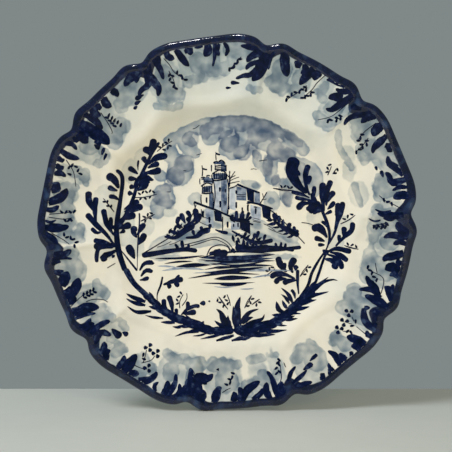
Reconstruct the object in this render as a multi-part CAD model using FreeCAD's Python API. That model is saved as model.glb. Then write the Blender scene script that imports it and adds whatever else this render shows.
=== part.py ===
import FreeCAD, Part
import math
import os

# A scalloped tin-glazed wall plate. The plate hangs upright: its axis is Y, the painted face looks
# along -Y, Z is up. The origin is the centre of the foot ring's resting face, which lies on Y = 0.
# Sizes are in millimetres, angles in degrees. "height" is always the distance from the resting face.

# ---- outline of the rim ----
notch_angles = [3.5, 43.0, 78.0, 118.0, 148.5, 188.0, 219.0, 257.0, 291.5, 329.0]
broad_lobe_from = 36.0       # a stretch between two notches wider than this is a broad lobe
plate_radius = 160.0         # out to a broad lobe's two rounded ends, its horns
broad_middle_drop = 2.0      # the middle of a broad lobe lies this much inside its horns
broad_horn_place = 8.5       # angle from the notch to a horn
broad_horn_width = 5.5
narrow_horn_drop = 1.6       # a narrow lobe's horns lie this much inside plate_radius
narrow_middle_drop = 4.2     # and its middle this much
narrow_horn_place = 5.5
narrow_horn_width = 3.4
notch_depth = 6.4            # from plate_radius to the foot of each notch
notch_width = 2.6            # angle over which the edge dips into a notch

# ---- profile ----
well_radius = 84.0           # flat floor
wall_width = 32.0            # the curved wall between the floor and the rim
wall_rise = 10.0
rim_rise = 13.5              # further rise from the floor's edge out to the lip
wall_thickness = 6.6         # glaze to glaze
lip_thickness = 7.8
lip_swell = 16.0             # how far in from the lip the wall starts to thicken
lip_nose = 5.6               # the rounded nose outside the lip's full thickness
glaze_thickness = 0.45

# ---- pressed petals ----
broad_petal_depth = 4.4
narrow_petal_depth = 3.2
petal_start = 15.0           # from the floor's edge out to a petal's inner end, at its middle
petal_arch = 11.0            # the inner end lies this much further out beside a notch
petal_fade = 15.0
crease_softness = 0.06       # rounding of the ridge between two petals, as a share of half a petal
rib_height = 0.8             # the thin rib along each ridge
rib_half_width = 2.8
rib_start = 22.0             # from the floor's edge
rib_fade = 12.0

# ---- foot ring ----
foot_height = 7.0            # from the resting face to the glazed back of the floor
foot_radius = 64.0           # outside, where it meets the body
foot_width = 9.5             # at the body
foot_rest_width = 5.5        # at the resting face
foot_rounding = 1.2
hanger_hole_radius = 1.75
hanger_hole_angle = 28.0     # each side of the top
hanger_hole_height = 3.2     # hole's centre above the resting face

# ---- where the curves are fitted: shares of a stretch between notches, and of the rim's width ----
half_stretch_shares = [0.0, 0.025, 0.055, 0.09, 0.14, 0.2, 0.28, 0.38, 0.5]
across_shares = [0.0, 0.05, 0.11, 0.17, 0.23, 0.29, 0.36, 0.44, 0.53, 0.63, 0.74, 0.85, 0.93, 1.0]
nose_angles = [90.0, 72.0, 52.0, 30.0, 10.0, -10.0, -30.0, -52.0, -72.0, -90.0]


def ease(value):
    """A smooth step from 0 to 1."""
    value = min(max(value, 0.0), 1.0)
    return value ** 3 * (10.0 - 15.0 * value + 6.0 * value * value)


def stretches():
    """Each pair of neighbouring notches, once around."""
    return list(zip(notch_angles, notch_angles[1:] + [notch_angles[0] + 360.0]))


def stretch_at(angle):
    """The angle from the nearest notch, and the whole angle of the stretch that holds it."""
    for low, high in stretches():
        for turned in (angle, angle + 360.0):
            if low <= turned <= high:
                return min(turned - low, high - turned), high - low
    raise ValueError("no stretch holds the angle %s" % angle)


def edge_radius(angle):
    """The scalloped edge: a middle, two rounded horns and a dip into each notch."""
    from_notch, span = stretch_at(angle)
    if span > broad_lobe_from:
        middle_drop, horn_drop = broad_middle_drop, 0.0
        place, width = broad_horn_place, broad_horn_width
    else:
        middle_drop, horn_drop = narrow_middle_drop, narrow_horn_drop
        place, width = narrow_horn_place, narrow_horn_width

    def drop(away):
        return middle_drop - (middle_drop - horn_drop) * math.exp(-((away - place) / width) ** 2)

    dip = notch_depth - drop(0.0)
    return plate_radius - drop(from_notch) - dip * math.exp(-(from_notch / notch_width) ** 2)


def relief(radius, angle):
    """Height that the pressed petals and ribs add to the plain profile."""
    from_notch, span = stretch_at(angle)
    depth = broad_petal_depth if span > broad_lobe_from else narrow_petal_depth
    share = from_notch / (span / 2.0)
    rounded = math.hypot(share, crease_softness) - crease_softness
    start = petal_start + petal_arch * (1.0 - share) ** 2
    out = radius - well_radius
    scoop = depth * (1.0 - (1.0 - rounded) ** 2) * ease((out - start) / petal_fade)
    away = math.radians(from_notch) * radius
    rib = rib_height * math.exp(-(away / rib_half_width) ** 2) * ease((out - rib_start) / rib_fade)
    return rib - scoop


def middle_height(radius, angle):
    """Height of the middle of the wall's thickness."""
    out = max(radius - well_radius, 0.0)
    wall = wall_rise * ease(out / wall_width)
    rim = rim_rise * (out / (plate_radius - well_radius)) ** 2
    return foot_height + wall_thickness / 2.0 + wall + rim + relief(radius, angle)


def section_frame(radius, angle):
    """A point on the wall's middle with its outward direction and its normal, all as (radius, height)."""
    step = 0.01
    rise = (middle_height(radius + step, angle) - middle_height(radius - step, angle)) / (2.0 * step)
    length = math.hypot(1.0, rise)
    along = (1.0 / length, rise / length)
    normal = (-along[1], along[0])
    return (radius, middle_height(radius, angle)), along, normal


def half_thickness(radius, angle):
    lip_at = edge_radius(angle) - lip_nose
    swell = ease(1.0 - (lip_at - radius) / lip_swell)
    return (wall_thickness + (lip_thickness - wall_thickness) * swell) / 2.0


def face_point(share, angle, side, inset):
    """A point on the front (side 1) or the back (side -1), inset under the surface."""
    lip_at = edge_radius(angle) - lip_nose
    radius = well_radius + (lip_at - well_radius) * share
    if share == 0.0:
        return (radius, foot_height + wall_thickness / 2.0 + side * (wall_thickness / 2.0 - inset))
    middle, along, normal = section_frame(radius, angle)
    out = side * (half_thickness(radius, angle) - inset)
    return (middle[0] + out * normal[0], middle[1] + out * normal[1])


def nose_point(turn, angle, inset):
    """A point on the rounded nose of the lip, from the front (90) to the back (-90)."""
    lip_at = edge_radius(angle) - lip_nose
    middle, along, normal = section_frame(lip_at, angle)
    forward = (lip_nose - inset) * math.cos(math.radians(turn))
    up = (half_thickness(lip_at, angle) - inset) * math.sin(math.radians(turn))
    return (
        middle[0] + forward * along[0] + up * normal[0],
        middle[1] + forward * along[1] + up * normal[1],
    )


def placed(point, angle):
    radius, height = point
    turn = math.radians(angle)
    return FreeCAD.Vector(radius * math.cos(turn), -height, radius * math.sin(turn))


def fitted_angles():
    """Angles around the whole plate, closest together beside the notches."""
    shares = half_stretch_shares + [1.0 - share for share in reversed(half_stretch_shares[1:-1])]
    angles = []
    for low, high in stretches():
        angles += [low + share * (high - low) for share in shares]
    return angles


def fitted_curve(points, parameters, closed):
    curve = Part.BSplineCurve()
    curve.interpolate(Points=points, PeriodicFlag=closed, Parameters=parameters)
    return curve


def fitted_surface(row_places, point_at):
    """One smooth surface, closed around the axis, through point_at(place, angle) for every row."""
    angles = fitted_angles()
    around = angles + [angles[0] + 360.0]
    rings = []
    for place in row_places:
        points = [placed(point_at(place, angle % 360.0), angle) for angle in angles]
        rings.append(fitted_curve(points, around, True))
    rows = [float(number) for number in range(len(row_places))]
    columns = zip(*[ring.getPoles() for ring in rings])
    lines = [fitted_curve(list(column), rows, False) for column in columns]
    ring, line = rings[0], lines[0]
    surface = Part.BSplineSurface()
    surface.buildFromPolesMultsKnots(
        [each.getPoles() for each in lines],
        ring.getMultiplicities(), line.getMultiplicities(), ring.getKnots(), line.getKnots(),
        True, False, ring.Degree, line.Degree,
    )
    return surface.toShape()


def skin_face(side, inset):
    return fitted_surface(across_shares, lambda share, angle: face_point(share, angle, side, inset))


def nose_face(inset):
    return fitted_surface(nose_angles, lambda turn, angle: nose_point(turn, angle, inset))


def join_face(side):
    """The narrow face across the glaze where the lip's band meets the front or the back."""
    return fitted_surface([0.0, glaze_thickness], lambda inset, angle: face_point(1.0, angle, side, inset))


def inner_edge(skin):
    """The circle where the rim's surface meets the flat floor."""
    rings = [edge for edge in skin.Edges if edge.isClosed()]
    return min(rings, key=lambda edge: edge.BoundBox.DiagonalLength)


def with_floor(skin):
    return [skin, Part.Face(Part.Wire([inner_edge(skin)]))]


def closed_solid(faces):
    shell = Part.makeCompound(faces)
    shell.sewShape(1e-4)
    solid = Part.Solid(shell.Shells[0] if shell.Shells else shell)
    if solid.Volume < 0:
        solid.reverse()
    return solid


def post(radius, low, high):
    """A cylinder about the plate's axis between two heights."""
    return Part.makeCylinder(radius, high - low, FreeCAD.Vector(0, -low, 0), FreeCAD.Vector(0, -1, 0))


def turned_solid(profile):
    """A closed (radius, height) outline turned about the plate's axis."""
    points = [FreeCAD.Vector(radius, -height, 0) for radius, height in profile]
    outline = Part.Face(Part.makePolygon(points + points[:1]))
    return outline.revolve(FreeCAD.Vector(0, 0, 0), FreeCAD.Vector(0, 1, 0), 360)


def make_clay_body():
    front = with_floor(skin_face(1, glaze_thickness))
    back = with_floor(skin_face(-1, glaze_thickness))
    return closed_solid(front + [nose_face(glaze_thickness)] + back)


def glaze_coat(side):
    """The coat over one side of the body, in to the axis."""
    outer = with_floor(skin_face(side, 0.0))
    inner = with_floor(skin_face(side, glaze_thickness))
    return closed_solid(outer + [join_face(side)] + inner)


def make_front_glaze():
    return glaze_coat(1)


def make_edge_glaze():
    return closed_solid([nose_face(0.0), join_face(1), nose_face(glaze_thickness), join_face(-1)])


def make_back_glaze():
    """The back's glaze, from the lip's band in to the foot ring."""
    return glaze_coat(-1).cut(post(foot_radius, 0.0, foot_height + wall_thickness))


def make_base_glaze():
    """The glazed disc inside the foot ring."""
    return post(foot_radius - foot_width, foot_height, foot_height + glaze_thickness)


def make_foot_ring():
    """The ring is luted to the clay, through the glaze's thickness."""
    top = foot_height + glaze_thickness
    taper = (foot_width - foot_rest_width) / 2.0
    ring = turned_solid([
        (foot_radius, top), (foot_radius - taper, 0.0),
        (foot_radius - taper - foot_rest_width, 0.0), (foot_radius - foot_width, top),
    ])
    rest_edges = [edge for edge in ring.Edges if abs(edge.BoundBox.YMin) < 1e-6]
    ring = ring.makeFillet(foot_rounding, rest_edges)
    for turn in (90.0 - hanger_hole_angle, 90.0 + hanger_hole_angle):
        outward = FreeCAD.Vector(math.cos(math.radians(turn)), 0, math.sin(math.radians(turn)))
        start = outward * (foot_radius - 2.0 * foot_width) + FreeCAD.Vector(0, -hanger_hole_height, 0)
        ring = ring.cut(Part.makeCylinder(hanger_hole_radius, 3.0 * foot_width, start, outward))
    return ring


pieces = {
    "clay_body": make_clay_body,
    "foot_ring": make_foot_ring,
    "front_glaze": make_front_glaze,
    "edge_glaze": make_edge_glaze,
    "back_glaze": make_back_glaze,
    "base_glaze": make_base_glaze,
}

os.makedirs("parts", exist_ok=True)
for name, make in pieces.items():
    shape = make()
    shape.exportStep("parts/%s.step" % name)
    print(name, "valid", shape.isValid(), "solids", len(shape.Solids), "volume", round(shape.Volume, 1))
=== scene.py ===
import bpy
import bmesh
import math
import random
import numpy as np
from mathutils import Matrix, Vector
from mathutils.bvhtree import BVHTree


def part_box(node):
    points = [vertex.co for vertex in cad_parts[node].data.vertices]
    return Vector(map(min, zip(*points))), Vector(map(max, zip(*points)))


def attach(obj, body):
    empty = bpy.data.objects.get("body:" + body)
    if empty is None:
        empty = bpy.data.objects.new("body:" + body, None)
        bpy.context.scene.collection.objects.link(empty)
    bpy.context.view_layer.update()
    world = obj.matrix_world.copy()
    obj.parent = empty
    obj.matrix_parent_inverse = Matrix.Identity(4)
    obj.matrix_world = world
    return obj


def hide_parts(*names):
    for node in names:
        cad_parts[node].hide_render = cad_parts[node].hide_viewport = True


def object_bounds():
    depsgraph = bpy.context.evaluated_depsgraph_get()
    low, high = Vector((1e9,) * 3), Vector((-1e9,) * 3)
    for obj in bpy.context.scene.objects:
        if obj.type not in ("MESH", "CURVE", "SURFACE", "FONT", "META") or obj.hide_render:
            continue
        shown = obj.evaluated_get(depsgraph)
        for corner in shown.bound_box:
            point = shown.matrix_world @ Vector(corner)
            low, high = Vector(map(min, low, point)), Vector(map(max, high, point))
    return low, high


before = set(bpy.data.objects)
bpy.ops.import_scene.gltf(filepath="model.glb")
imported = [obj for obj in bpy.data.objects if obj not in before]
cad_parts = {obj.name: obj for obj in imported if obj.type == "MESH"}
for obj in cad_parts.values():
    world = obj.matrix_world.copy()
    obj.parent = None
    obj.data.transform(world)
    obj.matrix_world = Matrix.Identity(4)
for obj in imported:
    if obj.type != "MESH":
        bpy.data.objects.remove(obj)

# A wall plate in blue painted tin glaze. It stands upright: the painted side looks along -Y and Z is up.
# Sizes in the lists are millimetres and degrees; everything made is in metres.
mm = 0.001
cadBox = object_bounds()
chance = random.Random(7)


def toLinear(hexColour):
    parts = [int(hexColour[i:i + 2], 16) / 255 for i in (1, 3, 5)]
    return tuple(c / 12.92 if c <= 0.04045 else ((c + 0.055) / 1.055) ** 2.4 for c in parts) + (1.0,)


def addNode(tree, kind, inputs=None, **settings):
    node = tree.nodes.new(kind)
    for name, value in settings.items():
        setattr(node, name, value)
    for key, value in (inputs or {}).items():
        if isinstance(value, bpy.types.NodeSocket):
            tree.links.new(value, node.inputs[key])
        else:
            node.inputs[key].default_value = value
    return node


def newMaterial(name):
    material = bpy.data.materials.new(name)
    material.use_nodes = True
    material.node_tree.nodes.clear()
    return material, material.node_tree


def ease(value):
    value = min(max(value, 0.0), 1.0)
    return value ** 3 * (10.0 - 15.0 * value + 6.0 * value * value)


def finishPiece(bm, name, material, sharpAngle=50.0, replaces=None):
    mesh = bpy.data.meshes.new(name)
    bm.to_mesh(mesh)
    bm.free()
    mesh.materials.append(material)
    for polygon in mesh.polygons:
        polygon.use_smooth = True
    mesh.set_sharp_from_angle(angle=math.radians(sharpAngle))
    piece = bpy.data.objects.new(name, mesh)
    bpy.context.scene.collection.objects.link(piece)
    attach(piece, "root")
    if replaces:
        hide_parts(replaces)
    print("made", name, len(mesh.polygons), "faces")
    return piece


# the plate's shape, as the mould gives it
plate = {
    "notches": [3.5, 43.0, 78.0, 118.0, 148.5, 188.0, 219.0, 257.0, 291.5, 329.0],
    "broadFrom": 36.0, "radius": 160.0,
    "broad": {"middle": 2.0, "horn": 0.0, "place": 8.5, "width": 5.5, "petal": 4.4},
    "narrow": {"middle": 4.2, "horn": 1.6, "place": 5.5, "width": 3.4, "petal": 3.2},
    "notchDepth": 6.4, "notchWidth": 2.6,
    "floor": 84.0, "wallWidth": 32.0, "wallRise": 10.0, "rimRise": 13.5,
    "thick": 6.6, "lipThick": 7.8, "lipSwell": 16.0, "lipNose": 5.6, "glaze": 0.45,
    "petalStart": 15.0, "petalArch": 11.0, "petalFade": 15.0, "creaseSoft": 0.06,
    "rib": 0.8, "ribHalfWidth": 2.8, "ribStart": 22.0, "ribFade": 12.0,
    "footHeight": 7.0, "footRadius": 64.0,
    "stepsAround": 640,
}


def lobeAt(angle):
    # degrees from the nearest notch, the stretch between notches, and that lobe's sizes
    notches = plate["notches"]
    turned = angle if angle >= notches[0] else angle + 360.0
    for low, high in zip(notches, notches[1:] + [notches[0] + 360.0]):
        if turned <= high:
            break
    span = high - low
    lobe = plate["broad"] if span > plate["broadFrom"] else plate["narrow"]
    return min(turned - low, high - turned), span, lobe


def edgeRadius(angle):
    away, span, lobe = lobeAt(angle)

    def drop(degrees):
        horn = math.exp(-((degrees - lobe["place"]) / lobe["width"]) ** 2)
        return lobe["middle"] - (lobe["middle"] - lobe["horn"]) * horn

    dip = plate["notchDepth"] - drop(0.0)
    return plate["radius"] - drop(away) - dip * math.exp(-(away / plate["notchWidth"]) ** 2)


def relief(radius, angle):
    away, span, lobe = lobeAt(angle)
    share = away / (span / 2.0)
    rounded = math.hypot(share, plate["creaseSoft"]) - plate["creaseSoft"]
    start = plate["petalStart"] + plate["petalArch"] * (1.0 - share) ** 2
    out = radius - plate["floor"]
    scoop = lobe["petal"] * (1.0 - (1.0 - rounded) ** 2) * ease((out - start) / plate["petalFade"])
    beside = math.radians(away) * radius
    rib = plate["rib"] * math.exp(-(beside / plate["ribHalfWidth"]) ** 2)
    return rib * ease((out - plate["ribStart"]) / plate["ribFade"]) - scoop


def middleHeight(radius, angle):
    out = max(radius - plate["floor"], 0.0)
    wall = plate["wallRise"] * ease(out / plate["wallWidth"])
    rim = plate["rimRise"] * (out / (plate["radius"] - plate["floor"])) ** 2
    return plate["footHeight"] + plate["thick"] / 2.0 + wall + rim + relief(radius, angle)


def section(radius, angle):
    # the middle's height, and the directions along the wall and out of its face
    step = 0.01
    rise = (middleHeight(radius + step, angle) - middleHeight(radius - step, angle)) / (2.0 * step)
    length = math.hypot(1.0, rise)
    return middleHeight(radius, angle), (1.0 / length, rise / length), (-rise / length, 1.0 / length)


def halfThickness(radius, angle):
    lipAt = edgeRadius(angle) - plate["lipNose"]
    swell = ease(1.0 - (lipAt - radius) / plate["lipSwell"])
    return (plate["thick"] + (plate["lipThick"] - plate["thick"]) * swell) / 2.0


# The three ways to place a row's point. Each takes the row's own place (a share of the way from floor to
# lip, a radius or a turn round the nose), then the angle, the side (1 face, -1 back) and the depth inside.
def skinPoint(share, angle, side, inset):
    lipAt = edgeRadius(angle) - plate["lipNose"]
    radius = plate["floor"] + (lipAt - plate["floor"]) * share
    height, along, normal = section(radius, angle)
    out = side * (halfThickness(radius, angle) - inset)
    return radius + out * normal[0], height + out * normal[1]


def floorPoint(radius, angle, side, inset):
    return radius, plate["footHeight"] + plate["thick"] / 2.0 + side * (plate["thick"] / 2.0 - inset)


def nosePoint(turn, angle, side, inset):
    lipAt = edgeRadius(angle) - plate["lipNose"]
    height, along, normal = section(lipAt, angle)
    forward = (plate["lipNose"] - inset) * math.cos(math.radians(turn))
    up = (halfThickness(lipAt, angle) - inset) * math.sin(math.radians(turn))
    return lipAt + forward * along[0] + up * normal[0], height + forward * along[1] + up * normal[1]


def turnedShell(rows):
    # rows are (way, place, side, depth inside): one closed ring of them is spun round the axis, then each
    # point is put where the mould has it
    bm = bmesh.new()
    points = [bm.verts.new((1.0, -float(number), 0.0)) for number in range(len(rows))]
    edges = [bm.edges.new((a, b)) for a, b in zip(points, points[1:] + points[:1])]
    bmesh.ops.spin(
        bm, geom=points + edges, cent=(0, 0, 0), axis=(0, 1, 0),
        angle=2.0 * math.pi, steps=plate["stepsAround"], use_merge=True,
    )
    for vert in bm.verts:
        angle = math.degrees(math.atan2(vert.co.z, vert.co.x)) % 360.0
        way, place, side, inset = rows[round(-vert.co.y)]
        radius, height = way(place, angle, side, inset)
        turn = math.radians(angle)
        vert.co = (radius * math.cos(turn) * mm, -height * mm, radius * math.sin(turn) * mm)
    bmesh.ops.remove_doubles(bm, verts=bm.verts, dist=1e-6)
    bmesh.ops.recalc_face_normals(bm, faces=bm.faces)
    return bm


def steps(first, last, count):
    return [first + (last - first) * number / count for number in range(count + 1)]


# washes: thinned cobalt soaked into the glaze, each blot (x, z, half width, half height, turn)
washWork = {
    "farOut": -30.0,  # what a field reads well away from its washes
    "arcSteps": 24,
    "rimRoot": 156.0, "rimWider": 1.15,
    # round puffs along a reach's inner end: where, their size, how far out from it and how tall
    "puffs": (-0.6, 0.05, 0.65), "puffSize": (0.42, 0.6), "puffOut": (0.9, 1.7), "puffTall": (0.8, 1.2),
    "band": 8.2, "notchBand": 8.0, "notchReach": 4.5,  # the dark band, and how it deepens beside a notch
}
# the painted layers that each of the face's two attributes holds
washLayers = {
    "rimWashes": ("reaches", "puffs", "band", "border"),
    "sceneWashes": ("sky", "skyDeep", "hill", "hillDeep"),
}
skyArcs = {  # width, centre, radius, from and to
    "sky": (10.0, (3.0, -1.0), 88.0, 126.0, 46.0),
    "skyDeep": (7.0, (3.0, -1.0), 89.0, 100.0, 50.0),
}
skyLight = [
    (-34, 66, 8, 10, 20), (-40, 46, 11, 14, 0), (-15, 74, 8, 8, 0), (-5, 80, 9, 8, 0), (5, 64, 13, 10, 0),
    (18, 78, 12, 9, 0), (32, 70, 13, 9, -20), (44, 61, 13, 9, -20), (25, 55, 4.5, 8, 10),
    (35, 48, 8, 9, 0), (38, 38, 6, 5, 0), (65, 38, 15, 18, 20), (49, 27, 6, 12, 10), (-57, 40, 5, 5, 0),
    (-55, 28, 9, 6, 10), (56, 48, 9, 9, 0), (-53, 20, 9, 8, 0), (-60, 13, 6, 9, 0), (-48, 58, 7, 8, 30),
    (-22, 80, 8, 6, 20), (-27, 60, 4, 5, 0),
]
skyDark = [
    (-37, 51, 9, 8, 20), (-44, 40, 8, 9, 0), (-31, 72, 8, 7, 30), (-12, 81, 10, 6, 10), (1, 70, 9, 10, 0),
    (12, 60, 8, 7, 0), (10, 85, 15, 7, 0), (26, 77, 11, 9, -20), (38, 76, 12, 7, -35), (40, 62, 8, 8, 0),
    (50, 57, 8, 7, -40), (33, 50, 5, 9, 0), (60, 44, 8, 10, 20), (24, 60, 4, 6, 0), (-54, 30, 6, 4, 0),
    (20, 68, 6, 5, 0), (-20, 77, 5, 7, 10), (-57, 22, 7, 8, 0), (-49, 16, 5, 4, 20), (50, 22, 4, 7, 0),
    (41, 36, 4, 5, 0),
]
hillLight = [
    (-50, -16, 20, 8, 22), (-30, -4, 14, 9, 25), (-12, 4, 14, 8, -10), (12, 2, 12, 6, -15),
    (30, -6, 16, 8, -18), (48, -10, 14, 8, -12), (20, 32, 9, 5, -15), (37, 19, 7, 9, 0),
    (-20, -14, 24, 6, 8), (18, -14, 24, 6, -5), (-48, -21, 22, 5, 8), (46, -16, 18, 5, -8),
    (-28, 21, 6, 6, 40), (0, -14, 12, 6, 0), (-4, -31, 32, 3.4, 0), (-52, -28.5, 16, 2.6, 0),
    (30, -28, 26, 3.6, 0), (16, -37, 20, 2.6, 0),
]
hillDark = [
    (-36, -10, 10, 3, 20), (-48, -20, 12, 2.5, 12), (-14, 0, 8, 3, -10), (34, -12, 12, 2.5, -18),
    (12, -5, 7, 2.5, -20), (3, -7, 9, 3.5, -10), (24, -2, 6, 3, -20), (-26, -8, 7, 3, 25),
    (-20, -14, 6, 2, 20), (22, -32, 16, 2, 0), (52, -14, 8, 2, -20), (24, 32, 4, 3, -15),
    (36, 19, 3, 3, 0),
]
borderWash = [
    (-80, 45, 9, 11, 0), (-85, 2, 7, 13, 0), (-68, -3, 6, 7, 0), (-90, -12, 10, 7, 0), (-65, 20, 9, 6, 0),
    (-50, 10, 6, 4, 0), (-104, 16, 11, 17, 0), (-72, 55, 8, 11, -30), (-104, -22, 9, 8, 0),
    (-76, -20, 6, 10, 0), (73, 4, 8, 7, 0), (101, 60, 6, 8, 20), (102, 45, 6, 9, 0), (110, 25, 9, 12, 0),
    (90, -14, 8, 9, 0), (99, -2, 7, 9, 0),
]
# the rim's washes reach in from the band: (from, to, inner radius)
rimWash = [
    (-4, 8, 117), (9, 18, 124), (18, 29, 136), (24, 31, 122), (30, 42, 128), (43, 52, 112), (52, 57, 128),
    (60, 68, 118), (66, 76, 116), (76, 82, 110), (80, 92, 138), (90, 99, 121), (98, 107, 119),
    (108, 119, 111), (121, 134, 128), (134, 146, 112), (148, 156, 113), (159, 165, 120), (165, 173, 127),
    (172, 182, 129), (180, 187, 118), (188, 200, 125), (203, 211, 115), (212, 220, 120), (220, 226, 117),
    (226, 232, 132), (234, 244, 130), (244, 252, 114), (251, 260, 113), (262, 272, 112), (268, 275, 113),
    (275, 281, 129), (278, 285, 111), (286, 291, 112), (295, 306, 117), (310, 316, 127), (322, 335, 113),
    (338, 350, 116), (350, 357, 117),
]
rimRings = [  # paler open curls of wash, each a path of (angle, radius)
    (6, 40, 121, 38, 117, 35, 113.5, 32, 113, 29, 114.5, 24.5, 114), (6, 8, 113, 12, 111.5, 17, 112),
    (6, 121, 116, 119, 112, 116, 109, 112, 108),
]


def blotField(x, z, blots):
    # distance in mm inside the nearest blot's edge, positive inside
    field = np.full(x.shape, washWork["farOut"])
    for px, pz, halfWide, halfHigh, turn in blots:
        cosTurn, sinTurn = math.cos(math.radians(turn)), math.sin(math.radians(turn))
        along = (x - px) * cosTurn + (z - pz) * sinTurn
        across = (z - pz) * cosTurn - (x - px) * sinTurn
        reach = np.sqrt((along / halfWide) ** 2 + (across / halfHigh) ** 2)
        field = np.maximum(field, (1.0 - reach) * min(halfWide, halfHigh))
    return field


def sweepField(x, z, width, path):
    field = np.full(x.shape, washWork["farOut"])
    for (ax, az), (bx, bz) in zip(path, path[1:]):
        dx, dz = bx - ax, bz - az
        share = np.clip(((x - ax) * dx + (z - az) * dz) / (dx * dx + dz * dz), 0.0, 1.0)
        field = np.maximum(field, width / 2.0 - np.hypot(x - ax - share * dx, z - az - share * dz))
    return field


def atAngle(angle, radius):
    turn = math.radians(angle)
    return radius * math.cos(turn), radius * math.sin(turn)


def arcPath(centre, radius, first, last):
    turns = [math.radians(angle) for angle in steps(first, last, washWork["arcSteps"])]
    return [(centre[0] + radius * math.cos(turn), centre[1] + radius * math.sin(turn)) for turn in turns]


def rimBlots():
    # each reach of wash is one long blot, and rounder puffs sit along its inner end
    reaches, puffs = [], []
    root = washWork["rimRoot"]
    for start, end, inner in rimWash:
        middle, halfTurn = (start + end) / 2.0, (end - start) / 2.0
        radius = (inner + root) / 2.0
        halfWide = math.radians(halfTurn) * radius
        half = (root - inner) / 2.0
        reaches.append((*atAngle(middle, radius), half, halfWide * washWork["rimWider"], middle))
        for side in washWork["puffs"]:
            size = halfWide * chance.uniform(*washWork["puffSize"])
            px, pz = atAngle(middle + side * halfTurn, inner + size * chance.uniform(*washWork["puffOut"]))
            puffs.append((px, pz, size, size * chance.uniform(*washWork["puffTall"]), middle))
        # one more lies about halfway out to the band
        size = halfWide * 0.75
        px, pz = atAngle(middle + chance.uniform(-0.5, 0.5) * halfTurn, inner + (150.0 - inner) * 0.55)
        puffs.append((px, pz, size * 1.3, size, middle))
    return reaches, puffs


def paintWashes(piece):
    # every point of the face is told how far it lies inside each kind of wash, in mm
    mesh = piece.data
    spots = np.empty(len(mesh.vertices) * 3)
    mesh.vertices.foreach_get("co", spots)
    spots = spots.reshape(-1, 3) / mm
    x, z = spots[:, 0], spots[:, 2]
    angle = np.degrees(np.arctan2(z, x)) % 360.0
    turns = np.arange(361)
    fromEdge = np.interp(angle, turns, [edgeRadius(turn) for turn in turns]) - np.hypot(x, z)
    fromNotch = np.interp(angle, turns, [lobeAt(turn)[0] for turn in turns])
    deeper = washWork["notchBand"] * np.exp(-(fromNotch / washWork["notchReach"]) ** 2)
    reaches, puffs = rimBlots()
    fields = {
        "reaches": blotField(x, z, reaches), "puffs": blotField(x, z, puffs),
        "band": washWork["band"] + deeper - fromEdge, "border": blotField(x, z, borderWash),
        "sky": blotField(x, z, skyLight), "skyDeep": blotField(x, z, skyDark),
        "hill": blotField(x, z, hillLight), "hillDeep": blotField(x, z, hillDark),
    }
    for width, *path in rimRings:
        curl = sweepField(x, z, width, [atAngle(a, r) for a, r in zip(path[::2], path[1::2])])
        fields["puffs"] = np.maximum(fields["puffs"], curl)
    for name, (width, *arc) in skyArcs.items():
        fields[name] = np.maximum(fields[name], sweepField(x, z, width, arcPath(*arc)))
    for layerName, names in washLayers.items():
        layer = mesh.attributes.new(layerName, "FLOAT_COLOR", "POINT")
        channels = np.stack([fields[name] for name in names], axis=1)
        layer.data.foreach_set("color", channels.astype(np.float32).ravel())


def coatSurface(tree, colour, height, finish):
    # the fired surface over a colour, with a height pattern for its unevenness
    bump = addNode(tree, "ShaderNodeBump", {
        "Strength": finish["bump"], "Distance": finish["depth"] * mm, "Height": height})
    shader = addNode(tree, "ShaderNodeBsdfPrincipled", {
        "Base Color": colour, "Roughness": finish["roughness"], "IOR": finish["ior"],
        "Specular IOR Level": finish["sheen"], "Normal": bump.outputs[0]})
    addNode(tree, "ShaderNodeOutputMaterial", {0: shader.outputs[0]})


# Tin glaze: a milky lead-tin glass over the clay, poured on and fired glossy. The cobalt is brushed on
# and sinks in, so washes pool darker along their edges. The surface ripples over a couple of centimetres.
tinGlaze = {
    # the upper grey and the heights where it fades in are painted shade on the top of the face, not a glaze
    # colour
    "white": "#f1e9d3", "cool": "#e4e8e2", "paintedShadeTop": "#d0d9d6", "paintedShadeFrom": 55.0, "paintedShadeTo": 135.0,
    "roughness": 0.12, "ior": 1.52, "sheen": 0.5, "bump": 0.35, "depth": 1.2,
    "rimBlue": "#93a8be", "rimPale": "#a0b3c6", "skyBlue": "#7590b2", "deepBlue": "#5f79a3",
    "hillBlue": "#93a9c2", "borderBlue": "#b0c0cd",
}
glazePatterns = {  # size in mm, detail, roughness, only on the painted face
    "tint": (60.0, 2.0, 0.55, False), "wander": (11.0, 2.0, 0.55, True), "fine": (2.5, 2.0, 0.55, True),
    "blotch": (10.0, 1.6, 0.5, True), "ripple": (16.0, 1.5, 0.55, False),
}
# each wash in its turn: its blue, strength, darker tide line at the edge, where it starts, how soft it is
washPlan = [
    # the first row spreads a faint blue up to 13 mm past each rim wash: partly a soft edge to the wash,
    # partly painted cool shade on the rim
    ("reaches", "borderBlue", 0.42, 0.0, -13.0, 20.0),
    ("sky", "borderBlue", 0.3, 0.0, -5.0, 6.0),
    ("border", "borderBlue", 0.5, 0.12, 0.0, 1.2),
    ("reaches", "rimPale", 0.75, 0.1, 0.0, 1.6),
    ("puffs", "rimBlue", 0.75, 0.18, 0.0, 0.9),
    ("hill", "hillBlue", 0.75, 0.2, 0.0, 1.0),
    ("hillDeep", "hillBlue", 0.9, 0.1, 0.0, 1.5),
    ("sky", "skyBlue", 0.8, 0.2, 0.0, 0.7),
    ("skyDeep", "deepBlue", 0.7, 0.14, 0.0, 1.1),
]


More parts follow.
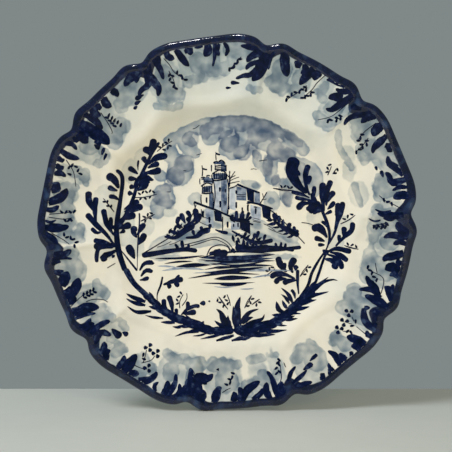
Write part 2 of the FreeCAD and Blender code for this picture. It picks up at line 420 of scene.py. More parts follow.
def washedColour(tree, place, pattern, colour):
    # painted shade: towards the top of the face the glaze is mixed towards a cool grey, as if less light
    # reached it
    height = addNode(tree, "ShaderNodeSeparateXYZ", {0: place}).outputs["Z"]
    paintedShadeTop = addNode(tree, "ShaderNodeMapRange", {
        0: height, 1: tinGlaze["paintedShadeFrom"] * mm, 2: tinGlaze["paintedShadeTo"] * mm, 3: 0.0, 4: 0.9}).outputs[0]
    colour = addNode(tree, "ShaderNodeMix", {0: paintedShadeTop, 6: colour, 7: toLinear(tinGlaze["paintedShadeTop"])},
                     data_type="RGBA").outputs[2]
    # an edge of wash wanders up to 3 mm either way, with a finer unevenness on top
    shift = addNode(tree, "ShaderNodeMath", {0: pattern["wander"], 1: 6.0, 2: -3.0},
                    operation="MULTIPLY_ADD").outputs[0]
    shift = addNode(tree, "ShaderNodeMath", {0: pattern["fine"], 1: 0.8, 2: shift},
                    operation="MULTIPLY_ADD").outputs[0]
    fields = {}
    for layerName, names in washLayers.items():
        layer = addNode(tree, "ShaderNodeAttribute", attribute_name=layerName)
        split = addNode(tree, "ShaderNodeSeparateColor", {0: layer.outputs["Color"]})
        fields.update(zip(names, [*split.outputs[:3], layer.outputs["Alpha"]]))
    for wash, blue, strength, tide, start, soft in washPlan:
        inside = addNode(tree, "ShaderNodeMath", {0: fields[wash], 1: shift}, operation="ADD").outputs[0]
        mask = addNode(tree, "ShaderNodeMapRange", {0: inside, 1: start, 2: start + soft}).outputs[0]
        pool = addNode(tree, "ShaderNodeMapRange", {0: inside, 1: 0.6, 2: 3.0, 3: tide, 4: 0.0}).outputs[0]
        body = addNode(tree, "ShaderNodeMapRange", {
            0: pattern["blotch"], 1: 0.32, 2: 0.68, 3: strength * 0.4, 4: strength}).outputs[0]
        amount = addNode(tree, "ShaderNodeMath", {0: body, 1: pool}, operation="ADD").outputs[0]
        amount = addNode(tree, "ShaderNodeMath", {0: amount, 1: mask}, operation="MULTIPLY",
                         use_clamp=True).outputs[0]
        colour = addNode(tree, "ShaderNodeMix", {0: amount, 6: colour, 7: toLinear(tinGlaze[blue])},
                         data_type="RGBA", blend_type="MULTIPLY").outputs[2]
    edge = addNode(tree, "ShaderNodeMath", {0: shift, 1: 0.4, 2: fields["band"]},
                   operation="MULTIPLY_ADD").outputs[0]
    edge = addNode(tree, "ShaderNodeMapRange", {0: edge, 1: 0.8, 2: 1.6}).outputs[0]
    band = inkColour(tree, place, pattern["blotch"])
    return addNode(tree, "ShaderNodeMix", {0: edge, 6: colour, 7: band}, data_type="RGBA").outputs[2]


def firedTinGlaze(name, painted):
    material, tree = newMaterial(name)
    place = addNode(tree, "ShaderNodeTexCoord").outputs["Object"]
    pattern = {}
    for key, (size, detail, rough, onlyPainted) in glazePatterns.items():
        if painted or not onlyPainted:
            pattern[key] = addNode(tree, "ShaderNodeTexNoise", {
                "Vector": place, "Scale": 1.0 / (size * mm), "Detail": detail,
                "Roughness": rough}).outputs["Fac"]
    colour = addNode(tree, "ShaderNodeMix", {0: pattern["tint"], 6: toLinear(tinGlaze["cool"]),
                     7: toLinear(tinGlaze["white"])}, data_type="RGBA").outputs[2]
    if painted:
        colour = washedColour(tree, place, pattern, colour)
    coatSurface(tree, colour, pattern["ripple"], tinGlaze)
    return material


# Brushed cobalt: the blue laid on thick, near black where it pools and slate where the brush ran dry. Its
# sheen is set below the white's, which keeps the darks deep.
cobalt = {
    "black": "#020d24", "navy": "#0b173c", "slate": "#38517a", "grey": "#3f5270",
    "pale": "#8d9bad", "dry": "#c4cdd6",
    "roughness": 0.14, "ior": 1.52, "sheen": 0.12, "bump": 0.35, "depth": 1.2, "ripple": 16.0,
}


def inkColour(tree, place, blotchy):
    streak = addNode(tree, "ShaderNodeTexNoise", {
        "Vector": place, "Scale": 1.0 / (5.0 * mm), "Detail": 3.0, "Roughness": 0.6}).outputs["Fac"]
    deep = addNode(tree, "ShaderNodeMapRange", {0: streak, 1: 0.35, 2: 0.62}).outputs[0]
    dark = addNode(tree, "ShaderNodeMix", {0: deep, 6: toLinear(cobalt["navy"]),
                   7: toLinear(cobalt["black"])}, data_type="RGBA").outputs[2]
    thin = addNode(tree, "ShaderNodeMapRange", {0: blotchy, 1: 0.56, 2: 0.74, 3: 0.0, 4: 0.55}).outputs[0]
    return addNode(tree, "ShaderNodeMix", {0: thin, 6: dark, 7: toLinear(cobalt["slate"])},
                   data_type="RGBA").outputs[2]


def brushedInk():
    # a stroke's points carry the distance along it, the side, its own chance number and its tone
    material, tree = newMaterial("brushedCobalt")
    place = addNode(tree, "ShaderNodeTexCoord").outputs["Object"]
    brush = addNode(tree, "ShaderNodeAttribute", attribute_name="brush")
    hairs = addNode(tree, "ShaderNodeMapping", {0: brush.outputs["Vector"], 3: (0.12, 0.9, 9.0)})
    streak = addNode(tree, "ShaderNodeTexNoise", {
        "Vector": hairs.outputs[0], "Scale": 1.0, "Detail": 2.0}).outputs[0]
    patch = addNode(tree, "ShaderNodeTexNoise", {
        "Vector": place, "Scale": 1.0 / (4.5 * mm), "Detail": 2.0, "Roughness": 0.55}).outputs["Fac"]
    mixed = addNode(tree, "ShaderNodeMath", {0: streak, 1: 0.75, 2: patch},
                    operation="MULTIPLY_ADD").outputs[0]
    lift = addNode(tree, "ShaderNodeMapRange", {0: mixed, 1: 0.55, 2: 1.2, 3: -0.22, 4: 0.22}).outputs[0]
    value = addNode(tree, "ShaderNodeMath", {0: brush.outputs["Alpha"], 1: lift}, operation="ADD",
                    use_clamp=True).outputs[0]
    ramp = addNode(tree, "ShaderNodeValToRGB", {0: value})
    stops = ramp.color_ramp.elements
    stops[0].color, stops[1].color = toLinear(cobalt["dry"]), toLinear(cobalt["black"])
    for position, colour in ((0.3, "pale"), (0.55, "grey"), (0.76, "navy")):
        stops.new(position).color = toLinear(cobalt[colour])
    ripple = addNode(tree, "ShaderNodeTexNoise", {
        "Vector": place, "Scale": 1.0 / (cobalt["ripple"] * mm), "Detail": 1.5,
        "Roughness": 0.55}).outputs["Fac"]
    coatSurface(tree, ramp.outputs[0], ripple, cobalt)
    return material


# Cobalt lip: the same blue in one heavy glossy coat over the rounded edge, where it runs and ripples, so
# it shows small bright glints along a nearly black line.
lipCoat = {"roughness": 0.14, "ior": 1.52, "sheen": 0.5, "bump": 0.4, "depth": 0.9}


def lipGlaze():
    material, tree = newMaterial("cobaltLipGlaze")
    place = addNode(tree, "ShaderNodeTexCoord").outputs["Object"]
    blotchy = addNode(tree, "ShaderNodeTexNoise", {
        "Vector": place, "Scale": 1.0 / (10.0 * mm), "Detail": 1.6, "Roughness": 0.5}).outputs["Fac"]
    ripple = addNode(tree, "ShaderNodeTexNoise", {
        "Vector": place, "Scale": 1.0 / (7.0 * mm), "Detail": 2.0, "Roughness": 0.55}).outputs["Fac"]
    coatSurface(tree, inkColour(tree, place, blotchy), ripple, lipCoat)
    return material


# Biscuit: low-fired buff clay, matt and slightly gritty where the glaze was wiped off the foot.
biscuit = {
    "dark": "#c69a74", "light": "#ddb994", "mottle": 9.0, "grit": 0.8,
    "roughness": 0.85, "ior": 1.5, "sheen": 0.5, "bump": 0.4, "depth": 0.2,
}


def biscuitClay():
    material, tree = newMaterial("biscuitEarthenware")
    place = addNode(tree, "ShaderNodeTexCoord").outputs["Object"]
    mottle = addNode(tree, "ShaderNodeTexNoise", {
        "Vector": place, "Scale": 1.0 / (biscuit["mottle"] * mm), "Detail": 4.0,
        "Roughness": 0.55}).outputs["Fac"]
    grit = addNode(tree, "ShaderNodeTexNoise", {
        "Vector": place, "Scale": 1.0 / (biscuit["grit"] * mm), "Detail": 3.0,
        "Roughness": 0.55}).outputs["Fac"]
    colour = addNode(tree, "ShaderNodeMix", {0: mottle, 6: toLinear(biscuit["dark"]),
                     7: toLinear(biscuit["light"])}, data_type="RGBA").outputs[2]
    coatSurface(tree, colour, grit, biscuit)
    return material


inkMaterial = brushedInk()
faceMaterial = firedTinGlaze("paintedTinGlaze", True)
backMaterial = firedTinGlaze("plainTinGlaze", False)
lipMaterial = lipGlaze()
clayMaterial = biscuitClay()
nodeFinishes = {"clay_body": clayMaterial, "foot_ring": clayMaterial, "base_glaze": backMaterial}
for name, material in nodeFinishes.items():
    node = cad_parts[name]
    node.data.materials.clear()
    node.data.materials.append(material)

# the skins, each a closed shell as thick as the glaze: rows go out over the seen side and back inside it
skins = {
    "coat": plate["glaze"], "floorRows": 39, "floorTo": 82.0, "faceRows": 50, "insideRows": 30,
    "floorInside": (40.0, 0.0), "lipRows": 18, "lipInside": 10,
    "foot": plate["footRadius"], "footRows": 6, "footTo": 81.0, "backRows": 40,
}
coat, foot = skins["coat"], skins["foot"]
frontRows = [(floorPoint, radius, 1, 0.0) for radius in steps(0.0, skins["floorTo"], skins["floorRows"])]
frontRows += [(skinPoint, share, 1, 0.0) for share in steps(0.0, 1.0, skins["faceRows"])]
frontRows += [(skinPoint, share, 1, coat) for share in steps(1.0, 0.0, skins["insideRows"])]
frontRows += [(floorPoint, radius, 1, coat) for radius in skins["floorInside"]]
face = finishPiece(turnedShell(frontRows), "paintedFace", faceMaterial,
                   replaces="front_glaze")
paintWashes(face)
lipRows = [(nosePoint, turn, 1, 0.0) for turn in steps(90.0, -90.0, skins["lipRows"])]
lipRows += [(nosePoint, turn, 1, coat) for turn in steps(-90.0, 90.0, skins["lipInside"])]
finishPiece(turnedShell(lipRows), "blueLip", lipMaterial, replaces="edge_glaze")
backRows = [(floorPoint, radius, -1, 0.0) for radius in steps(foot, skins["footTo"], skins["footRows"])]
backRows += [(skinPoint, share, -1, 0.0) for share in steps(0.0, 1.0, skins["backRows"])]
backRows += [(skinPoint, share, -1, coat) for share in steps(1.0, 0.0, skins["insideRows"])]
backRows += [(floorPoint, foot, -1, coat)]
finishPiece(turnedShell(backRows), "glazedBack", backMaterial, replaces="back_glaze")

# brush strokes: raised a hair above the glaze, as thick cobalt is
brushWork = {
    "proud": 0.09, "layer": 0.011, "layers": 12, "crown": 0.06, "thick": 0.32,
    "spacing": 1.3, "fineBelow": 1.2, "leastHalf": 0.05, "reach": 0.3,
    "bandInset": 6.8, "rootFrom": 145.0,  # rim strokes end at the dark band, and roots this far out join it
}
faceTree = BVHTree.FromObject(face, bpy.context.evaluated_depsgraph_get())


def smoothPath(points):
    # a flowing line through the points, as finely spaced places with their distance along it
    if len(points) == 2:
        (ax, az), (bx, bz) = points
        bow = chance.uniform(-0.06, 0.06)
        middle = ((ax + bx) / 2 - (bz - az) * bow, (az + bz) / 2 + (bx - ax) * bow)
        points = [points[0], middle, points[1]]
    knots = np.array([(2 * points[0][0] - points[1][0], 2 * points[0][1] - points[1][1]), *points,
                      (2 * points[-1][0] - points[-2][0], 2 * points[-1][1] - points[-2][1])])
    t = np.linspace(0.0, 1.0, 9)[:-1, None]  # eight places to each stretch of the curve
    spots = []
    for p0, p1, p2, p3 in zip(knots, knots[1:], knots[2:], knots[3:]):
        spots.append(0.5 * (2 * p1 + (p2 - p0) * t + (2 * p0 - 5 * p1 + 4 * p2 - p3) * t ** 2
                            + (3 * p1 - p0 - 3 * p2 + p3) * t ** 3))
    spots = np.vstack(spots + [knots[-2][None]])
    run = np.concatenate([[0.0], np.cumsum(np.hypot(*np.diff(spots, axis=0).T))])
    return spots, run


def placeAlong(line, at):
    spots, run = line
    return np.interp(at, run, spots[:, 0]), np.interp(at, run, spots[:, 1])


def halfWidth(kind, share, width, length):
    rounding = min(0.5, 0.5 * width / length)
    tip = math.sqrt(max(0.0, 1.0 - max(0.0, (share - 1.0 + rounding) / rounding) ** 2))
    root = math.sqrt(max(0.0, 1.0 - max(0.0, (rounding - share) / rounding) ** 2))
    if kind == "drop":  # thin at the stem, full and round at its end
        body = (0.5 + 0.66 * ease(share / 0.7)) * root
    elif kind == "claw":  # broad at the root, drawn out to a blunt point
        body = 0.85 + 0.3 * ease(share / 0.35) - 0.62 * max(0.0, (share - 0.42) / 0.58) ** 1.7
    elif kind == "blade":  # swells from the root and runs out to a point
        body = (0.55 + 0.45 * ease(share / 0.35)) * (1.0 - 0.85 * max(0.0, (share - 0.4) / 0.6) ** 1.4)
    elif kind == "comma":  # a single dab
        body = (0.5 + 0.5 * ease(share / 0.5)) * root
    elif kind == "lens":  # pointed at both ends
        body = max(math.sin(math.pi * min(max(share, 0.0), 1.0)), 0.0) ** 0.7 / max(tip, 0.001)
    elif kind == "stem":  # tapers steadily
        body = (1.0 - 0.35 * share) * root
    else:  # a line or a bar
        body = (1.0 - 0.2 * share) * root
    return 0.5 * width * body * tip


def ontoFace(x, z, raised):
    for inward in range(16):  # a point past the face's outer edge is drawn in until it lies on it
        share = 1.0 - 0.004 * inward
        start = Vector((x * share * mm, -0.2, z * share * mm))
        spot, normal = faceTree.ray_cast(start, Vector((0, 1, 0)))[:2]
        if spot:
            return spot + normal * raised * mm
    raise ValueError("a stroke leaves the plate")


def brushStroke(bm, layer, kind, tone, width, points):
    line = smoothPath(points)
    length = line[1][-1]
    fine = width <= brushWork["fineBelow"]
    count = int(max(length / brushWork["spacing"], 3 if fine else 5))
    seed, wave = chance.random(), chance.uniform(0.0, 6.3)
    raised = brushWork["proud"] + brushWork["layer"] * chance.randrange(0, brushWork["layers"])
    toneHere = tone + chance.uniform(-0.05, 0.05)
    grid = bmesh.ops.create_grid(bm, x_segments=count, y_segments=2 if fine else 4, size=1.0)["verts"]
    for vert in grid:
        share = 0.5 - 0.5 * math.cos(math.pi * (vert.co.x + 1.0) / 2.0)
        side = vert.co.y
        at = share * length
        x, z = placeAlong(line, at)
        aheadX, aheadZ = placeAlong(line, min(at + brushWork["reach"], length))
        behindX, behindZ = placeAlong(line, max(at - brushWork["reach"], 0.0))
        dx, dz = aheadX - behindX, aheadZ - behindZ
        size = math.hypot(dx, dz) or 1.0
        half = halfWidth(kind, share, width, length)
        half *= 1.0 + 0.06 * math.sin(8.0 * share + wave) + 0.04 * math.sin(19.0 * share + 2.0 * wave)
        half = max(half, brushWork["leastHalf"])
        vert.co = ontoFace(x - dz / size * half * side, z + dx / size * half * side,
                           raised + brushWork["crown"] * (1.0 - side * side))
        vert[layer] = (at, side, seed, toneHere)


def panel(bm, layer, tone, corners):
    # a flat wash inside four corners, for walls and windows
    seed = chance.random()
    raised = brushWork["proud"] * 0.6 + brushWork["layer"] * chance.randrange(0, 6) * 0.5
    grid = bmesh.ops.create_grid(bm, x_segments=5, y_segments=5, size=1.0)["verts"]
    (dx, dz), (cx, cz), (bx, bz), (ax, az) = corners  # given from the top left, clockwise
    for vert in grid:
        s, t = (vert.co.x + 1.0) / 2.0, (vert.co.y + 1.0) / 2.0
        x = (ax * (1 - s) + bx * s) * (1 - t) + (dx * (1 - s) + cx * s) * t
        z = (az * (1 - s) + bz * s) * (1 - t) + (dz * (1 - s) + cz * s) * t
        vert[layer] = (s * 10.0, t * 2.0 - 1.0, seed, tone)
        vert.co = ontoFace(x, z, raised)


def asPoints(flat):
    return list(zip(flat[::2], flat[1::2]))


def paintPiece(name, strokes, panels=()):
    # strokes: (kind, tone, width, points); panels: (tone, corners)
    bm = bmesh.new()
    layer = bm.verts.layers.float_color.new("brush")
    for tone, corners in panels:
        panel(bm, layer, tone, corners)
    for kind, tone, width, points in strokes:
        brushStroke(bm, layer, kind, tone, width, points)
    under, low = bm.faces[:], bm.verts[:]
    bmesh.ops.extrude_face_region(bm, geom=under, use_keep_orig=True)
    bmesh.ops.translate(bm, vec=(0.0, brushWork["thick"] * mm, 0.0), verts=low)
    bm.normal_update()
    bmesh.ops.reverse_faces(bm, faces=[item for item in under if item.normal.y < 0.0])
    return finishPiece(bm, name, inkMaterial, 60.0)


# a flat stroke is (width, x, z, x, z, ...), or on the rim (width, angle, radius, ...)
def thicker(flatStrokes, factor):
    return [(width * factor, *path) for width, *path in flatStrokes]


def inked(kind, tone, flatStrokes):
    return [(kind, tone, width, asPoints(path)) for width, *path in flatStrokes]


def rimInked(kind, tone, flatStrokes, fuller=1.0):
    # roots near the edge are carried on out to the dark band
    made = []
    for width, *path in flatStrokes:
        points = [(a, min(r, edgeRadius(a) - brushWork["bandInset"])) for a, r in asPoints(path)]
        if points[0][1] > brushWork["rootFrom"]:
            points[0] = (points[0][0], edgeRadius(points[0][0]) - brushWork["bandInset"])
        bend = chance.uniform(0.5, 1.0) * chance.choice((-1.0, 1.0))
        if len(points) == 2:  # a straight one curls a little
            (firstAngle, firstRadius), (lastAngle, lastRadius) = points
            middle = ((firstAngle + lastAngle) / 2.0 + bend, (firstRadius + lastRadius) / 2.0)
            points.insert(1, middle)
        made.append((kind, tone, width * fuller, [atAngle(a, r) for a, r in points]))
    return made


def feathering(stem, every, length, width, lean, tone):
    # blades crowded along both sides of a stem, all swept the way the stem runs
    line = smoothPath(stem)
    last = line[1][-1]
    made = []
    for number, at in enumerate(np.arange(2.0, last - 1.0, every)):
        x, z = placeAlong(line, at)
        aheadX, aheadZ = placeAlong(line, min(at + 1.0, last))
        way = math.atan2(aheadZ - z, aheadX - x)
        side = 1.0 if number % 2 else -1.0
        turn = way + side * math.radians(lean + chance.uniform(-8, 8))
        long = length * chance.uniform(0.75, 1.2)
        bend = turn - side * math.radians(chance.uniform(4, 16))
        middle = (x + 0.5 * long * math.cos(turn), z + 0.5 * long * math.sin(turn))
        tip = (middle[0] + 0.5 * long * math.cos(bend), middle[1] + 0.5 * long * math.sin(bend))
        toneHere = tone + chance.uniform(-0.08, 0.06)
        made.append(("blade", toneHere, width * chance.uniform(0.85, 1.2), [(x, z), middle, tip]))
    return made


def leafPairs(stem, spread, size, tone, spots):
    # small commas set beside a stem, leaning away from it in turn
    made = []
    (ax, az), (bx, bz) = stem
    way = math.atan2(bz - az, bx - ax)
    for number, (x, z) in enumerate(spots):
        lean = way + math.radians(spread if number % 2 else -spread)
        dx, dz = math.cos(lean) * size / 2, math.sin(lean) * size / 2
        made.append(("comma", tone, size * 0.52, [(x - dx, z - dz), (x + dx, z + dz)]))
    return made


# the castle on its hill: two galleried towers with flags, houses stepping down to the right
castleLines = [
    (0.7, -12.3, 12.5, -12.5, 38), (0.8, -0.3, 8, -0.2, 38), (0.9, -13.5, 42, -7, 45.5, -1.5, 43),
    (1, -13.5, 37, -10, 36.5, -1, 38), (0.7, -13.6, 42, -13.5, 37), (0.7, -1.3, 43, -0.9, 38),
    (0.7, -11, 45, -11, 50.5), (0.8, -1.5, 44, -1.5, 50), (0.8, -11, 45.8, -1.6, 45.6),
    (0.6, -11, 47, -1.6, 46.9), (0.9, -11, 48.5, -6, 49.2, -1.6, 48.2), (0.8, -14, 50, -14, 44),
    (1, -12.5, 51, -10, 53, -8, 51.5), (1, -8, 52.5, -5, 53.8, -2.2, 50.5), (0.7, -10, 53.5, -10.2, 61),
    (0.7, -22.5, 16, -22.7, 25), (0.7, -12.6, 12, -12.6, 26), (0.9, -23, 31.5, -18, 34.5, -13, 33),
    (1, -22.5, 26, -18, 25.5, -12.5, 26.5), (0.7, -20.5, 34, -20.5, 39), (0.7, -13, 33.5, -13, 39),
    (0.9, -20, 35.8, -13, 36), (0.7, -23.7, 38.5, -23.6, 33), (0.9, -23, 38.5, -21, 39.5, -19, 38.7),
    (0.9, -18.5, 40, -16.5, 41, -15, 40.2), (0.7, -21.8, 40, -22, 49.5),
    (1.4, -29, 18.5, -20, 15, -10, 11.5, 0, 7, 10, 3, 21.5, -1), (0.9, 1, 30, 5, 31, 8, 33),
    (0.7, 1, 30, 1, 12), (1.4, 7.5, 33.5, 16, 30, 27, 26), (0.5, 7, 25, 15, 24.6),
    (0.5, 7, 23.2, 15, 22.8), (1.4, 16, 18.5, 22, 17.5, 28, 16, 38, 12.5), (0.8, 15.5, 17.2, 18.6, 17),
    (0.8, 21.5, 14.2, 25, 13.6), (0.7, -4.5, 6, -4.6, -6), (0.7, 10.2, 4, 10.2, -5),
    (0.4, 20, 5, 27, 3.4), (0.4, 20.5, 3.6, 28, 2), (0.4, 21, 2.2, 28, 0.8), (0.6, -29, 18, -27, 10),
    (0.7, 27, 17, 33, 27), (0.5, 29, 20, 33, 21), (0.5, 30, 22, 29, 26), (1.1, 0.8, 31, 1.5, 37, 1, 42),
    (0.6, 1.2, 37, 6, 44.5), (0.6, 1.3, 38, 6.5, 41), (0.6, 1, 34, 10, 36), (0.5, 1.2, 36, 9.5, 39.5),
    (0.6, 1, 39, -2, 43), (0.8, 1.5, 45, 1.3, 41.5), (0.6, 36, 12.5, 36, 3), (0.5, -22.7, 12.5, -22.7, 4),
]
castleWindows = [
    (1.7, -7, 31, -7, 27), (1.8, -6.7, 19.5, -6.7, 13.5), (1.5, -18, 22.5, -18, 17.5),
    (1.9, -21, 11, -21, 5), (1.7, -15.8, 6, -15.8, 0.5), (1.7, 7, 28.5, 7, 25), (1.6, 7, 18.5, 7, 13),
    (1.5, 17, 16.6, 17, 10), (1.5, 23.3, 13.4, 23.3, 8), (1.6, -0.3, 2, -0.3, -3.5),
    (1.3, 4.7, 0, 4.7, -3), (1.3, 8.5, 1, 8.5, -3), (1.6, -10.2, 59.5, -8, 58.6, -6.5, 58.2),
    (1.4, -22, 46.8, -19.5, 46, -17.5, 45.8), (1.2, 12, 14, 12.3, 9), (1.0, -2.2, 30, -2.2, 26),
    (1.0, -2.5, 20, -2.5, 15),
]
uprights = [(0.8, x, 37.3, x, 43.4) for x in (-11.2, -9.4, -7.8, -6.2, -4.6, -3.2, -2)]
uprights += [(0.7, x, 26.2, x, 32.4) for x in (-21.5, -20, -18.5, -17, -15.5, -14)]
castlePanels = [
    (0.92, (-12, 11), (-5.5, 10), (-5, 1.5), (-11, 2.5)),
    (0.9, (15.5, 29.5), (22, 27), (22, 18), (16.5, 20)),
    (0.9, (28.3, 15.5), (36, 12.5), (36, 2.5), (29.5, 5.5)),
    (0.9, (10.8, 3), (18.5, 2.5), (19, -9), (10.8, -5)),
    (0.42, (-6, 37), (-0.6, 37.5), (-0.6, 8), (-6, 11)), (0.55, (-6, 50.5), (-2, 50), (-2, 44), (-6, 44)),
    (0.55, (-12.8, 42.4), (-1.6, 43), (-1.2, 38), (-13, 37.4)),
    (0.6, (-10, 52.8), (-4, 53), (-2.6, 50), (-12, 50.5)),
    (0.55, (-16, 26), (-12.8, 26), (-12.8, 12), (-16, 13)),
    (0.55, (-22, 31), (-13.2, 32.6), (-13, 26.8), (-22.3, 26.4)),
    (0.5, (-20.3, 38.6), (-13.2, 38.6), (-13.2, 34), (-20.3, 34.5)),
    (0.55, (-21, 39), (-16, 40), (-15, 37), (-23, 37)),
    (0.36, (7, 32), (15.5, 29.5), (15.5, 19.5), (7, 20)),
    (0.12, (1.2, 29.5), (6.5, 31), (6.5, 11), (1.2, 13)), (0.2, (2.5, 5), (10, 4), (10, -5), (2.5, -5.5)),
    (0.16, (19, 16), (28, 14), (28, 1), (19, 4)), (0.12, (-12, 36.5), (-6.2, 37), (-6.2, 11), (-12, 13)),
    (0.25, (-19, 13.5), (-12.2, 11), (-12.2, -4), (-19, -1)),
    (0.4, (22.3, 27), (27, 25.5), (27, 17), (22.3, 18)),
]
plants = [
    (2, 3, 2, 4, 8), (1.8, 5, 2, 8, 9), (2.2, 8, 2, 7, 11), (2, 10, 3, 13, 11), (2.4, 13, 3, 12, 9),
    (2, 15, 3, 18, 10), (1.8, 16, 2, 20, 6), (2, 6, 1, 2, 6), (3, 2, 3, 10, 3, 18, 2),
]
paintPiece(
    "castlePainting",
    inked("line", 0.97, thicker(castleLines + uprights, 1.4))
    + inked("bar", 0.98, thicker(castleWindows, 1.15)) + inked("drop", 0.92, thicker(plants, 1.2)),
    [(tone, corners) for tone, *corners in castlePanels],
)

# the hill, the bridge and the banks
hillStrokes = [
    (3.2, -40, -3, -43, 1, -41, 6), (3, -30, -2, -25, 3, -24, 9), (3, -34, 1, -32, 6, -35, 11),
    (4, -32, 0, -27, 5, -28, 13), (3.5, -36, 0, -38, 4, -40, 9), (4, -33, 0, -34, 6),
    (5.5, -38, -2, -28, -1), (2.5, -42, -8, -50, -6.5), (2.5, -38, -3, -44, -2),
    (4, -54, -11, -45, -12, -38, -7, -30, -2), (4, -36, -12, -27, -11, -22, -7, -15, -5),
    (2.5, -28, -11, -30, -5), (2.5, -22, -8, -23, -2), (2.5, -16, -6, -15, 0), (2.4, -11, -5, 0, -8),
    (3, 3, -6, 12, -11, 20, -15, 28, -16, 38, -14), (2.5, 24, -14, 26, -6), (2.5, 21, -14, 23, -8),
    (2.2, 14, -12, 15, -7), (2.2, 30, -15, 32, -9), (4, 38, 4, 42, 0, 50, -5, 60, -10),
    (3, 41, 1, 38.5, 9), (3, 43, -1, 43, 7), (2.6, 47, -3, 46, 3), (3, 51, -6, 52, 1),
    (2.5, 55, -8, 56, -2), (2.5, 58, -10, 59, -5), (2.4, 37, 3, 33, 6),
]
bankStrokes = [
    (3.2, 10, -22, 30, -23, 62, -20), (3, 20, -21, 56, -22.5), (5.5, 6, -20, 20, -21.5, 35, -20),
    (2.6, 8, -20, 7, -14), (2.6, 12, -20, 13, -14.5), (2.4, 17, -20, 16, -15), (2.4, 21, -20, 22, -15),
    (2.4, 41, -21, 40, -16), (2.4, 44, -21, 45, -15.5), (2.4, 48, -21, 49, -16.5),
    (4, -73, -27, -40, -22, -26, -23), (3, -38, -21, -39, -14), (2.6, -42, -22, -45, -17),
    (2.4, -34, -22, -33, -17), (2, -60, -25, -50, -23.5), (6, -13, -24.5, 0, -24.5),
    (3, -16, -26, -6, -22), (3, 3, -21, 6, -25),
]
outlines = [
    (1, -73, -26, -58, -17, -45, -9, -36, -2, -30, 8, -27, 16), (1, 26, 16, 38, 10, 50, -1, 65, -17),
    (0.8, -37, -18, -25, -15, -12, -11.5, -5, -13, 1, -17, 5, -23),
    (0.8, -36, -20, -25, -17, -13, -13.4, -6, -15, 0, -19, 3, -24),
    (1, -18, -27, -15, -21, -10, -18.5, -5, -18, 0, -20, 2, -25), (0.6, -60, -20, -48, -15),
    (0.6, -50, -18, -40, -14), (0.6, -25, 2, -15, -2), (0.6, -22, 6, -14, 3), (0.6, 30, 0, 40, -6),
    (0.6, 34, -4, 46, -9),
]
bushes = feathering([(59, -12), (48, -5), (37, 4)], 2.2, 7.0, 2.6, 58, 0.88)
bushes += feathering([(-54, -10), (-44, -6), (-39, -4)], 2.4, 6.0, 2.6, 50, 0.88)
bushes += feathering([(2, -9), (12, -13), (30, -16)], 2.4, 6.0, 2.2, 60, 0.88)
paintPiece(
    "hillPainting",
    inked("drop", 0.86, thicker(hillStrokes, 1.05)) + bushes
    + inked("bar", 0.9, thicker(bankStrokes, 1.15)) + inked("line", 0.92, outlines),
)

# the lake, in long level strokes
waterStrokes = [
    (1.5, -62, -29.5, -20, -27), (1.2, -54, -34, -30, -32), (2.6, -44, -36.5, -15, -35),
    (1.8, -10, -38.5, 38, -35.5), (2.2, -7, -40, 16, -38), (2.6, -20, -42, 30, -37),
    (1.5, -34, -46.5, 27, -43), (3, -12, -47, 20, -46), (1.2, -22, -50.5, 23, -50),
    (1.8, -7, -52, 16, -51), (1.3, -25, -30.5, 30, -29), (1.1, -16, -33.5, 36, -31),
    (1.2, -24, -28.5, 36, -25.5), (1.2, -20, -39, 10, -37.5),
]
waterMiddle = [(4, -25, -28.5, 40, -26), (3.4, -20, -32, 38, -29.5), (3, -15, -35, 40, -31.5)]
waterLight = [
    (2.5, -56, -40, -20, -39), (2.2, -30, -42, 60, -40), (1.2, -12, -53.5, 8, -53),
    (1.2, 10, -55.5, 22, -55), (1.6, 20, -46, 44, -44), (1.6, -60, -36, -44, -37),
]
paintPiece(
    "lakePainting",
    inked("lens", 0.92, thicker(waterStrokes, 1.35)) + inked("lens", 0.68, waterMiddle)
    + inked("lens", 0.25, waterLight),
)

birds = [
    (0.7, -30, 80, -27, 81, -24, 83.5), (0.7, -27, 58, -25, 58.5, -22, 59.5), (0.7, -38, 45, -35, 44.8),
    (0.7, 26, 53, 29, 53.5, 33, 54), (0.7, 19, 46, 22, 46.5, 24.5, 45.8), (0.7, -52, 27, -48, 27),
]
paintPiece("birdPainting", inked("line", 0.9, birds))


